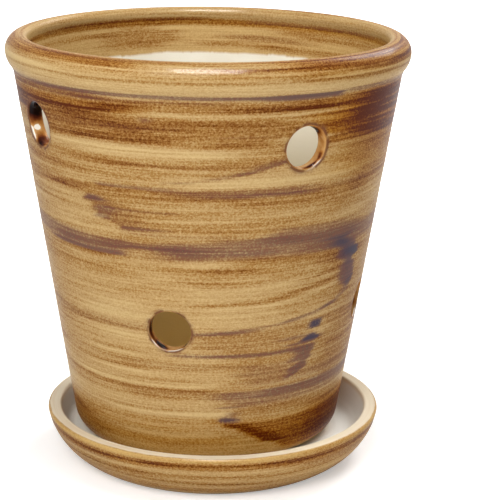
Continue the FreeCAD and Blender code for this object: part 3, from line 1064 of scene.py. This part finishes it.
# %% Strokes for the rim and the inside
rim_strokes = [
    stroke(-92, -24, 161.6, 3.2, brown=0.42, honey=0.4, edges=1),
    stroke(-84, -10, 164.0, 1.2, brown=0.34), dragged(-100, -22, 156.6, 1.3, 0.25),
    stroke(-70, 10, 158.6, 1.0, brown=0.19), dragged(-24, 34, 161.0, 1.4, 0.12),
    stroke(6, 80, 159.6, 1.3, brown=0.28, honey=0.2),
    stroke(22, 120, 162.4, 3.6, brown=0.39, honey=0.3, fade_in=14, edges=1),
    stroke(44, 130, 158.6, 2.2, brown=0.31, plum=0.12), dragged(26, 96, 156.6, 0.9, 0.22),
    dragged(40, 84, 160.9, 0.8, 0.17), all_round(154.4, 8.0, brown=-0.06, edges=1.5),
    stroke(-50, 30, 156.8, 1.0, brown=0.22), stroke(-36, 40, 160.2, 0.7, brown=0.34, plum=0.06),
    stroke(-60, 0, 163.0, 0.9, brown=0.34), stroke(-80, 14, 155.2, 0.6, brown=0.3),
    dragged(-66, -4, 159.4, 0.5, 0.26), stroke(-20, 70, 161.8, 0.5, brown=0.34),
    stroke(0, 90, 157.4, 0.6, brown=0.34, honey=0.2), stroke(10, 90, 163.8, 0.8, brown=0.4, honey=0.3),
    stroke(-100, -40, 159.6, 0.6, brown=0.3), all_round(165.6, 0.8, brown=0.34, honey=0.3),
    stroke(20, 110, 155.6, 0.7, brown=0.34, plum=0.1), stroke(-10, 60, 155.0, 0.8, brown=0.2),
    stroke(24, 110, 158.0, 7.0, brown=0.14, honey=0.2, edges=2),
    stroke(-160, -80, 163.0, 3.0, brown=0.23, honey=0.25, edges=1),
    stroke(130, 230, 161.4, 2.6, brown=0.27, honey=0.2, edges=1),
    stroke(150, 262, 157.4, 1.4, brown=0.27), dragged(196, 290, 154.8, 1.0, 0.17),
    stroke(104, 170, 155.2, 1.4, brown=0.23),
    all_round(172.8, 2.4, brown=0.4, honey=0.5, top=1, bottom=0.7),
    stroke(112, 166, 172.0, 1.8, plum=0.35), stroke(-180, -120, 171.6, 1.6, brown=0.2, plum=0.2)]

inside_strokes = [
    all_round(179.0, 15.0, brown=-0.07, honey=0.16, edges=2),
    stroke(-168, -138, 179.0, 8.5, brown=0.28, plum=0.12, fade_in=5, edges=2),
    stroke(-140, -96, 177.0, 2.0, brown=0.2), stroke(140, 176, 178.4, 2.6, brown=0.23, plum=0.25),
    stroke(120, 160, 182.0, 2.4, brown=0.27, plum=0.08), stroke(150, 190, 181.4, 1.6, brown=0.27),
    stroke(100, 150, 176.0, 3.0, brown=0.27, plum=0.1), dragged(-178, -150, 175.4, 1.4, 0.15),
    stroke(-40, 60, 178.0, 4.0, brown=0.23), stroke(30, 96, 182.0, 2.6, brown=0.2, plum=0.2),
    stroke(-96, -30, 181.0, 2.4, brown=0.23)]

pot_strokes = (under_the_rim + upper_wall + middle_wall + curled_end + lower_wall + foot + back_wall
               + rim_strokes + inside_strokes)
print("Strokes on the whole pot:", len(pot_strokes))

# %% [markdown]
# ## Strokes on the saucer
#
# The saucer's side was decorated in one go while it turned, so its strokes are longer. Their places
# are millimetres down from the outer edge of the lip.

# %% The table of strokes on the saucer
saucer_strokes = [
    all_round(9.0, 22.0, brown=0.1, edges=2), all_round(0.6, 2.0, brown=-0.14, honey=0.35, edges=0.8),
    all_round(3.4, 2.2, brown=0.28, honey=0.25, top=0.8, bottom=1.4),
    stroke(-88, -16, 2.9, 1.5, brown=0.27, plum=0.2, top=0.5, bottom=0.8),
    stroke(24, 96, 2.8, 1.2, brown=0.23, plum=0.22), stroke(-20, 30, 3.0, 1.0, brown=0.17),
    stroke(-100, -40, 5.2, 1.6, plum=0.3, slate=0.05), dragged(-50, 20, 6.4, 1.2, 0.13),
    stroke(-30, 60, 8.2, 1.0, brown=0.2), stroke(30, 110, 6.0, 2.4, brown=0.16, plum=0.2),
    stroke(-90, -20, 9.0, 1.4, brown=0.2, plum=0.08), dragged(-20, 50, 10.6, 1.4, 0.11),
    stroke(-60, 10, 12.2, 1.2, brown=0.2), stroke(0, 80, 13.0, 1.0, brown=0.19),
    stroke(100, 220, 4.6, 2.2, brown=0.2, plum=0.24, fade_in=2), stroke(130, 280, 8.6, 1.4, brown=0.23),
    dragged(190, 270, 6.4, 1.0, 0.17), stroke(110, 200, 12.4, 1.6, brown=0.19, plum=0.1),
    all_round(17.5, 4.0, brown=0.08, honey=0.3, edges=1)]
print("Strokes on the saucer:", len(saucer_strokes))

# %% [markdown]
# ## Laying the strokes on
#
# A stroke of a loaded brush covers a long, low patch. Its ends are ragged, because the bristles
# touch and leave the clay at different moments, and its upper and lower edges are soft or sharp.
#
# Each stroke could be a group of nodes, but with more than a hundred of them every ray would have to
# work them all out again. So they are painted on the mesh's points once, as four numbers a point:
# how much brown, plum, slate and honey oxide lies there. The rows of points are close together where
# the strokes are, and the finish adds the bristle marks.

# %% Paint the strokes on the points
oxides = ("brown", "plum", "slate", "honey")
stroke_sway = 1.1  # how far a stroke wanders up and down, in mm
stroke_swing = 3.5  # and along, in degrees
# How fast each wave changes round a piece and up it, for each millimetre, and its shift upwards.
sway_wave = (0.018, 0.03, 0)
bristle_waves = [(0.012, 0.45, 0), (0.024, 0.9, 40)]


def smooth(distance, soft):
    """Goes from 0 to 1 while the distance goes from -soft to soft."""
    share = min(1.0, max(0.0, 0.5 + distance / (2 * soft)))
    return share * share * (3 - 2 * share)


def cover(row, turn, height, bristle):
    """The share of cover that a stroke gives a place, from 0 to 1."""
    along = (turn - (row.start + row.end) / 2 + 180) % 360 - 180
    above = height - row.at - row.slope * along
    along -= row.lean * above
    sides = smooth(row.width / 2 - above, row.top) * smooth(row.width / 2 + above, row.bottom)
    if sides == 0:
        return 0.0
    reach = (row.end - row.start) / 2 + row.ragged * bristle
    return sides * smooth(reach + along, row.fade_in) * smooth(reach - along, row.fade_out)


def strokes_by_level(strokes):
    """For each whole millimetre of the brush coordinate, the strokes that may reach it."""
    at_level = {}
    for row in strokes:
        spread = row.width / 2 + max(row.top, row.bottom) + abs(row.slope) * (row.end - row.start) / 2
        lowest = math.floor(row.at - spread - stroke_sway)
        highest = math.ceil(row.at + spread + stroke_sway)
        for level in range(lowest, highest):
            at_level.setdefault(level, []).append(row)
    return at_level


def wave(x, y, at, around, up, shift):
    """Smooth noise from -1 to 1 that changes at one rate round a piece and at another up it."""
    return noise.noise(Vector((x * around, y * around, at * up + shift)))


def paint(piece, strokes, axis):
    """Gives each point of a piece its four amounts of oxide."""
    at_level = strokes_by_level(strokes)
    mesh = piece.data
    brush_at = [0.0] * len(mesh.vertices)
    mesh.attributes["brush"].data.foreach_get("value", brush_at)
    painted = {oxide: [0.0] * len(brush_at) for oxide in oxides}
    for number, (vertex, at) in enumerate(zip(mesh.vertices, brush_at)):
        x, y = vertex.co.x / mm - axis.x, vertex.co.y / mm - axis.y
        sway = wave(x, y, at, *sway_wave)
        bristle = sum(wave(x, y, at, *scales) for scales in bristle_waves) / len(bristle_waves)
        turn = math.degrees(math.atan2(x, -y)) + photo_turn + stroke_swing * sway
        height = at + stroke_sway * sway
        for row in at_level.get(math.floor(height), ()):
            share = cover(row, turn, height, bristle)
            if share:
                for oxide in oxides:
                    painted[oxide][number] += share * getattr(row, oxide)
    for oxide, amounts in painted.items():
        mesh.attributes.new(oxide, "FLOAT", "POINT").data.foreach_set("value", amounts)
        print(piece.name, oxide, "most:", round(max(amounts), 2))


paint(pot, pot_strokes, middle)
paint(saucer, saucer_strokes, saucer_axis)

# %% [markdown]
# ## The streaked glaze
#
# The glaze is one coat seen through another. A pale golden glaze carries a thin brown oxide, and
# where the brown lies thicker the colour goes from straw through tan to dark brown. Plum and slate
# oxides lie on top. So the finish adds up four amounts, brown, plum, slate and honey, and only at
# the end turns them into a colour.
#
# Streaks come from noise that is stretched round the pot and squeezed in height. It reads the real
# position round the axis, so it meets itself without a seam. Three sizes of streak and a fine grain
# are enough: bands, bristle marks, hair lines, and the speckle where brown glaze breaks on the clay.

# %% Colours of the glazes and the clay
straw = linear(203, 174, 122)
golden = linear(183, 150, 99)
tan = linear(158, 116, 60)
brown = linear(126, 76, 27)
dark_brown = linear(84, 36, 8)
plum = linear(114, 72, 64)
dusky_plum = linear(74, 48, 56)
slate = linear(62, 58, 74)
honey = (1.0, 0.79, 0.24, 1.0)  # multiplies the colour under it, as a clear amber glaze does
cream = linear(238, 233, 218)
thin_cream = linear(232, 225, 208)
# Painted shade inside the pot: the cream deep down, and a darker golden brown near the bottom.
shaded_deep_cream = linear(184, 171, 142)
shaded_lower_inside = linear(192, 162, 102)
biscuit = linear(222, 206, 178)
pale_biscuit = linear(228, 216, 192)
dish_cream = linear(236, 233, 224)
dish_grey = linear(226, 222, 211)
# Painted glint: the white on the lower lips of the holes and in the bores.
painted_glint_white = linear(250, 244, 232)
pale_amber = linear(200, 158, 98)
amber = linear(166, 110, 52)
deep_amber = linear(118, 62, 24)
# Dark pooled glaze, also used as painted shade high in the bores.
pool_and_shade_brown = linear(70, 28, 12)
pool_and_shade_black = linear(24, 12, 10)
lip_halo = linear(110, 70, 52)
lip_line = linear(104, 60, 38)
dark_clay = linear(196, 176, 144)
pale_clay = linear(226, 210, 180)
print("Dark brown in the renderer's scale:", [round(value, 4) for value in dark_brown])

# %% The streaked glaze as a function of place
Streak = namedtuple("Streak", "around up detail roughness")
# How fast each kind of streak changes round the pot and up it, for each millimetre.
streaks = {
    "sway": Streak(0.018, 0.03, 1, 0.5),
    "bands": Streak(0.012, 0.20, 2, 0.5),
    "bristles": Streak(0.020, 0.85, 3, 0.6),
    "hairs": Streak(0.045, 2.8, 2, 0.6),
    "grain": Streak(1.25, 1.6, 2, 0.7),
    "cloud": Streak(0.05, 0.05, 3, 0.5)}
streak_sway = 1.6
cover_streaks = (0.85, 0.45)  # shares of bristles and hairs in how a stroke covers
bare_thickness = 0.27
thickness_streaks = (0.26, 0.48, 0.46)  # shares of bands, bristles and hairs in the brown
thin_grain, thick_grain, grain_full = 0.5, 1.25, 0.6
coat_colours = [(0.0, straw), (0.26, golden), (0.50, tan), (0.76, brown), (1.0, dark_brown)]
broken_grain = 1.5
plum_full, plum_cover = 0.86, 0.82
slate_starts, slate_full, slate_cover = 0.05, 1.0, 0.9
relief_streaks = (0.5, 0.35, 0.5)  # shares of bristles, hairs and grain in the relief

Glaze = namedtuple("Glaze", "colour relief bands bristles grain brush x y z streak")


def streaked_glaze(web, axis):
    """Adds a streaked glaze to a finish, and returns it with the places and noises it was made from."""
    position = web.node("ShaderNodeTexCoord").outputs["Object"]
    across, along, up = web.node("ShaderNodeSeparateXYZ", {0: position}).outputs
    x = web.sum("SUBTRACT", web.times(across, 1 / mm), axis.x)
    y = web.sum("SUBTRACT", web.times(along, 1 / mm), axis.y)
    z = web.times(up, 1 / mm)
    brush_at = web.attribute("brush")

    def streak(kind, height):
        """Noise that is drawn out round the piece, about 0.5 on average."""
        row = streaks[kind]
        place = web.place(web.times(x, row.around), web.times(y, row.around), web.times(height, row.up))
        return web.noise(place, row.detail, row.roughness)

    height = web.vary(brush_at, (streak("sway", brush_at), streak_sway))
    bands, bristles, hairs = (streak(kind, height) for kind in ("bands", "bristles", "hairs"))
    grain = streak("grain", brush_at)
    amounts = {oxide: web.attribute(oxide) for oxide in oxides}

    bristled = web.vary(1.0, *zip((bristles, hairs), cover_streaks))
    thick = web.sum("ADD", web.times(amounts["brown"], bristled), bare_thickness)
    thick = web.vary(thick, *zip((bands, bristles, hairs), thickness_streaks))
    thick = web.vary(thick, (grain, web.ease(thick, 0.0, grain_full, thin_grain, thick_grain)))
    colour = web.ramp(thick, coat_colours)
    honey_share = web.sum("MULTIPLY", amounts["honey"], 1.0, clamp=True)
    colour = web.mix(honey_share, colour, honey, blend="MULTIPLY")

    broken = web.vary(bristled, (grain, broken_grain))
    plum_share = web.ease(web.times(amounts["plum"], broken), 0.0, plum_full)
    plum_colour = web.mix(web.ease(grain, 0.38, 0.60), dusky_plum, plum)
    colour = web.mix(web.times(plum_share, plum_cover), colour, plum_colour)
    slate_share = web.ease(web.times(amounts["slate"], broken), slate_starts, slate_full)
    colour = web.mix(web.times(slate_share, slate_cover), colour, slate)
    relief = web.vary(0.0, *zip((bristles, hairs, grain), relief_streaks))
    return Glaze(colour, relief, bands, bristles, grain, brush_at, x, y, z, streak)


# %% [markdown]
# ## What both pieces share
#
# Both pieces are fired clay under a thin glassy coat, and both stand on a ring that was wiped clean
# before the kiln, so that it didn't stick to the shelf. The base reflects very little here and the
# coat a little more, because the white tent would lay a pale veil over the dark strokes otherwise.

# %% Helpers for both finishes
relief_depth = 0.10
base_reflection = 0.02
coat_weight = 0.08
coat_roughness = 0.14
glaze_roughness = 0.34
roughness_grain = 0.25
bore_roughness = 0.08
lip_roughness = 0.42
clay_roughness = 0.85
ring_wander = 1.2


def new_finish(name):
    material = bpy.data.materials.new(name)
    material.use_nodes = True
    material.node_tree.nodes.clear()
    return material, Web(material.node_tree)


def noise_within(web, glaze, frequency, detail, roughness=0.5):
    """Noise that changes alike in every direction."""
    place = web.place(*[web.times(part, frequency) for part in (glaze.x, glaze.y, glaze.z)])
    return web.noise(place, detail, roughness)


def noise_round(web, glaze, frequency, level, detail=3):
    """Noise that changes round a piece but not with height."""
    place = web.place(web.times(glaze.x, frequency), web.times(glaze.y, frequency), level)
    return web.noise(place, detail, roughness=0.6)


def wiped_ring(web, glaze, edge_noise, begin, end):
    """The share of bare clay while the brush coordinate goes from begin to end, and its colour."""
    bare_share = web.ease(web.vary(glaze.brush, (edge_noise, ring_wander)), begin, end)
    clay_grain = noise_within(web, glaze, frequency=2.4, detail=4, roughness=0.7)
    return bare_share, web.mix(web.ease(clay_grain, 0.3, 0.7), dark_clay, pale_clay)


def finish_output(web, colour, roughness, relief):
    """The shader that every fired surface here shares: clay under glass."""
    bump = web.node("ShaderNodeBump", {"Strength": 1.0, "Distance": relief_depth * mm, "Height": relief})
    shader = web.node("ShaderNodeBsdfPrincipled", {
        "Base Color": colour, "Roughness": roughness, "IOR": 1.5, "Specular IOR Level": base_reflection,
        "Coat Weight": coat_weight, "Coat Roughness": coat_roughness, "Normal": bump.outputs[0]})
    web.node("ShaderNodeOutputMaterial", {"Surface": shader.outputs[0]})


print("Brush marks stand up to", relief_depth, "mm")

# %% [markdown]
# ## The pot's finish
#
# The coats meet in places that the potter chose. Brown glaze was brushed over the rim and a little
# way down the inside, where it ends in an uneven edge over cream. Deeper inside, the cream is painted
# darker as painted shade. The bores of the air holes are thickly glazed, amber where it is clear and
# nearly black where it pooled. High in each bore that dark is painted shade under the upper lip, and
# pale painted glints lie on the lower lips. The ring that the pot stands on shows bare clay.

# %% The streaked coat outside and the cream inside
cream_edge = brush[inside_row] + 10.6
cream_wander = 4.0
cream_soft = 0.7
drip_length = 0.5
thin_before, thin_after, thin_share = 3.5, 1.5, 0.35
# Heights over which the inside cream is painted darker as painted shade, deep down and near the bottom.
deep_shade_from, deep_shade_to = 138.0, 88.0
lower_shade_from, lower_shade_to = 66.0, 38.0
cloud_wander = 30.0

pot_material, web = new_finish("streaked_pot_glaze")
glaze = streaked_glaze(web, middle)
slow_edge = noise_round(web, glaze, frequency=0.035, level=3.0)
drips = noise_round(web, glaze, frequency=0.45, level=8.0, detail=1)
inside_edge = web.vary(glaze.brush, (slow_edge, cream_wander))
inside_edge = web.sum("MULTIPLY_ADD", web.ease(drips, 0.5, 0.8), -drip_length, inside_edge)
cream_share = web.ease(inside_edge, cream_edge - cream_soft, cream_edge + cream_soft)
cream_thin = web.ease(inside_edge, cream_edge - thin_before, cream_edge + thin_after)

cloud = glaze.streak("cloud", glaze.brush)
# Painted shade deep inside the pot: lower down the cream is painted darker, and towards the bottom a darker
# golden brown.
lower_shade_share = web.ease(web.vary(glaze.z, (cloud, cloud_wander)), lower_shade_from, lower_shade_to)
cream_colour = web.mix(web.ease(cloud, 0.35, 0.75), cream, thin_cream)
cream_colour = web.mix(web.ease(glaze.z, deep_shade_from, deep_shade_to), cream_colour, shaded_deep_cream)
cream_colour = web.mix(lower_shade_share, cream_colour, shaded_lower_inside)
colour = web.mix(web.times(cream_thin, thin_share), glaze.colour, straw)
colour = web.mix(cream_share, colour, cream_colour)
print("The cream begins at brush coordinate", round(cream_edge, 1))

# %% The lips and bores of the holes
over_the_crest = 10.0
halo_ends, halo_full = 1.5, 0.1
bore_begins, bore_full = 0.05, -0.55
line_inset, line_reach, line_core = 0.05, 0.34, 0.06
halo_faint, halo_strong = 0.06, 0.5
line_faint, line_strong = 0.15, 0.8
pool_wander = 0.6
pool_shift = 0.25
# From a painted glint at the pale end, through amber, to pooled glaze and painted shade at the dark end.
bore_colours = [(0.0, painted_glint_white), (0.12, pale_amber), (0.40, amber), (0.56, deep_amber),
                (0.74, pool_and_shade_brown), (1.0, pool_and_shade_black)]

hole_gap = web.attribute("hole_gap")
outside_share = web.ease(glaze.brush, crest_height + over_the_crest, crest_height)
halo_noise = noise_within(web, glaze, frequency=0.28, detail=2)
halo = web.times(web.ease(hole_gap, halo_ends, halo_full), outside_share)
halo_share = web.times(halo, web.ease(halo_noise, 0.42, 0.62, halo_faint, halo_strong))
colour = web.mix(halo_share, colour, lip_halo)

bore_share = web.ease(hole_gap, bore_begins, bore_full)
bore_noise = noise_within(web, glaze, frequency=0.35, detail=3)
# The pooled amount also carries the painted shade high in the bores and, below nothing, the painted glints.
pool_shade_glint_amount = web.vary(web.attribute("pool_shade_glint"), (bore_noise, pool_wander))
colour = web.mix(bore_share, colour, web.ramp(web.sum("ADD", pool_shade_glint_amount, pool_shift), bore_colours))

off_line = web.sum("ABSOLUTE", web.sum("ADD", hole_gap, line_inset))
line_strength = web.ease(halo_noise, 0.34, 0.60, line_faint, line_strong)
line_share = web.times(web.ease(off_line, line_reach, line_core), line_strength)
colour = web.mix(web.times(line_share, outside_share), colour, lip_line)
print("Nodes so far:", len(pot_material.node_tree.nodes))

# %% The bare ring, the relief and the sheen
ring_brush = brush[foot_ring_row]
wipe_ends, wipe_full = ring_brush + 1.0, ring_brush + 0.4
bore_relief = 0.1

bare_share, clay = wiped_ring(web, glaze, slow_edge, wipe_ends, wipe_full)
colour = web.mix(bare_share, colour, clay)
relief = web.times(glaze.relief, web.fade(bore_share, 1.0, bore_relief))
roughness = web.vary(glaze_roughness, (glaze.grain, roughness_grain))
roughness = web.fade(bore_share, roughness, bore_roughness)
roughness = web.fade(bare_share, roughness, clay_roughness)
finish_output(web, colour, roughness, relief)
pot.data.materials.append(pot_material)
print("Nodes in the pot's finish:", len(pot_material.node_tree.nodes))

# %% [markdown]
# ## The saucer's finish
#
# Only the saucer's side was brushed. Its lip and dish have a plain cream glaze, thinner and greyer
# in the dish, and its foot ring is bare like the pot's.

# %% The saucer's material
lip_wander = 0.8
lip_begins, lip_full = -0.1, -0.7
dish_begins, dish_full = -4.6, -6.4
wipe_ends, wipe_full = saucer_foot_brush - 0.9, saucer_foot_brush - 0.3

saucer_material, web = new_finish("streaked_saucer_glaze")
glaze = streaked_glaze(web, saucer_axis)
edge_noise = noise_round(web, glaze, frequency=0.12, level=1.0)
lip_share = web.ease(web.vary(glaze.brush, (edge_noise, lip_wander)), lip_begins, lip_full)
dish_share = web.ease(glaze.brush, dish_begins, dish_full)
lip_colour = web.mix(web.ease(glaze.bristles, 0.35, 0.7), biscuit, pale_biscuit)
dish_colour = web.mix(web.ease(glaze.bands, 0.35, 0.7), dish_cream, dish_grey)
colour = web.mix(lip_share, glaze.colour, web.mix(dish_share, lip_colour, dish_colour))

bare_share, clay = wiped_ring(web, glaze, edge_noise, wipe_ends, wipe_full)
colour = web.mix(bare_share, colour, clay)
roughness = web.vary(glaze_roughness, (glaze.grain, roughness_grain))
roughness = web.fade(lip_share, roughness, lip_roughness)
roughness = web.fade(bare_share, roughness, clay_roughness)
finish_output(web, colour, roughness, glaze.relief)
saucer.data.materials.append(saucer_material)
print("Nodes in the saucer's finish:", len(saucer_material.node_tree.nodes))

# %% [markdown]
# ## Seating the pieces
#
# Both detailed pieces take the place of the plain packed ones, and each rides on the same body, so
# the pot lifts out of its saucer and the saucer stays behind.

# %% Hand the pieces to the frame
for piece, node, slot in ((pot, "pot", "pot_glaze"), (saucer, "saucer", "saucer_glaze")):
    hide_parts(node)
    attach(piece, node)
    print(piece.name, "takes the place of", node)

# %% [markdown]
# ## The tent and the floor
#
# The setting is a studio tent, white on all sides. What the camera sees of it, straight or in the
# glaze, is plain white, but it lights the clay less than that. A real tent would need its lamps
# placed outside it, so this is the simpler way.
#
# The floor is white too. Rays from the camera see it a little brighter than it is lit, so that it
# reaches plain white away from the pot and still keeps the pot's shadow near it.

# %% Build the tent and the floor
white = (1, 1, 1, 1)
floor_paint = (0.9, 0.9, 0.9, 1)
tent_light = 0.33
near_lift = 0.36
lift_begins, lift_ends = 0.14, 0.45  # metres from the middle
floor_size = 3.0


def tent_world():
    world = bpy.data.worlds.new("light_tent")
    bpy.context.scene.world = world
    world.use_nodes = True
    world.node_tree.nodes.clear()
    web = Web(world.node_tree)
    path = web.node("ShaderNodeLightPath").outputs
    mirrored = web.sum("MAXIMUM", path["Is Glossy Ray"], path["Is Transmission Ray"])
    seen = web.sum("MAXIMUM", path["Is Camera Ray"], mirrored)
    shine = web.node("ShaderNodeBackground", {"Color": white, "Strength": web.fade(seen, tent_light, 1.0)})
    web.node("ShaderNodeOutputWorld", {"Surface": shine.outputs[0]})


def floor_finish():
    material, web = new_finish("white_floor")
    path = web.node("ShaderNodeLightPath").outputs
    position = web.node("ShaderNodeTexCoord").outputs["Object"]
    distance = web.node("ShaderNodeVectorMath", {0: position}, operation="LENGTH").outputs["Value"]
    lift = web.ease(distance, lift_begins, lift_ends, near_lift, 1.0)
    plain = web.node("ShaderNodeBsdfDiffuse", {"Color": floor_paint}).outputs[0]
    glow = web.node("ShaderNodeEmission", {
        "Color": white, "Strength": web.times(path["Is Camera Ray"], lift)}).outputs[0]
    both = web.node("ShaderNodeAddShader", enumerate((plain, glow))).outputs[0]
    web.node("ShaderNodeOutputMaterial", {"Surface": both})
    return material


corner = floor_size / 2
floor_mesh = bpy.data.meshes.new("floor")
floor_mesh.from_pydata([(-corner, -corner, 0), (corner, -corner, 0), (corner, corner, 0),
                        (-corner, corner, 0)], [], [(0, 1, 2, 3)])
floor_mesh.materials.append(floor_finish())
floor_piece = bpy.data.objects.new("floor", floor_mesh)
bpy.context.scene.collection.objects.link(floor_piece)
tent_world()
print("Floor, metres:", floor_size)

# %% [markdown]
# ## The lamps
#
# Four square lamps, all plain white. A small one overhead draws the shadow, a large soft one above
# and beside the camera fills the front, and one behind the pot reaches into the saucer. The last is
# seen only in the glaze and lights nothing: it puts the bright patch on the roll of the rim, which a
# lighting lamp of that strength would have bleached.

# %% Place the lamps
front = math.radians(photo_turn)
to_camera = Vector((-math.sin(front), -math.cos(front), 0))
to_left = Vector((-math.cos(front), math.sin(front), 0))
up = Vector((0, 0, 1))
lamp_aim = up * 0.08


def lamp(name, place, size, watts):
    """A square area lamp that faces the pot."""
    light = bpy.data.lights.new(name, "AREA")
    light.shape, light.size, light.energy = "SQUARE", size, watts
    made = bpy.data.objects.new(name, light)
    made.location = place
    made.rotation_euler = (lamp_aim - place).to_track_quat("-Z", "Y").to_euler()
    bpy.context.scene.collection.objects.link(made)
    print("Lamp", name, "is", round(place.length, 2), "metres off")
    return made


lamp("overhead", up * 1.1 + to_camera * 0.15, size=0.16, watts=3.2)
gloss = lamp("gloss", up + to_camera * 0.5, size=0.5, watts=72.0)
gloss.visible_diffuse = False
lamp("fill", to_camera + to_left * 0.32 + up * 0.90, size=0.7, watts=12.5)
lamp("back", to_camera * -0.78 - to_left * 0.60 + up * 0.80, size=0.5, watts=10.0)

# %% [markdown]
# ## The camera
#
# The camera's place was worked out by laying the pot's known outline over its picture: the ellipses
# of the rim and the saucer give the distance and the tilt. The camera stands two thirds of a metre
# off, a little above the rim, and looks slightly down.

# %% Place the camera
camera_distance = 657.0
camera_above_rim = 97.0
camera_tilt = 0.268  # this and the next two are in radians
camera_swing = -0.0248
camera_roll = 0.0135
focal_pixels = 1785.0
picture_pixels = 500.0
sensor_width = 36.0

camera_data = bpy.data.cameras.new("camera")
camera_data.sensor_width = sensor_width
camera_data.lens = sensor_width * focal_pixels / picture_pixels
camera = bpy.data.objects.new("camera", camera_data)
camera.matrix_world = (
    Matrix.Translation((to_camera * camera_distance + up * (crest_height + camera_above_rim)) * mm)
    @ Matrix.Rotation(camera_swing - front, 4, "Z") @ Matrix.Rotation(math.pi / 2 - camera_tilt, 4, "X")
    @ Matrix.Rotation(camera_roll, 4, "Z"))
bpy.context.scene.collection.objects.link(camera)
bpy.context.scene.camera = camera
bpy.context.scene.view_settings.view_transform = "Standard"
print("Lens, mm:", round(camera_data.lens, 1))
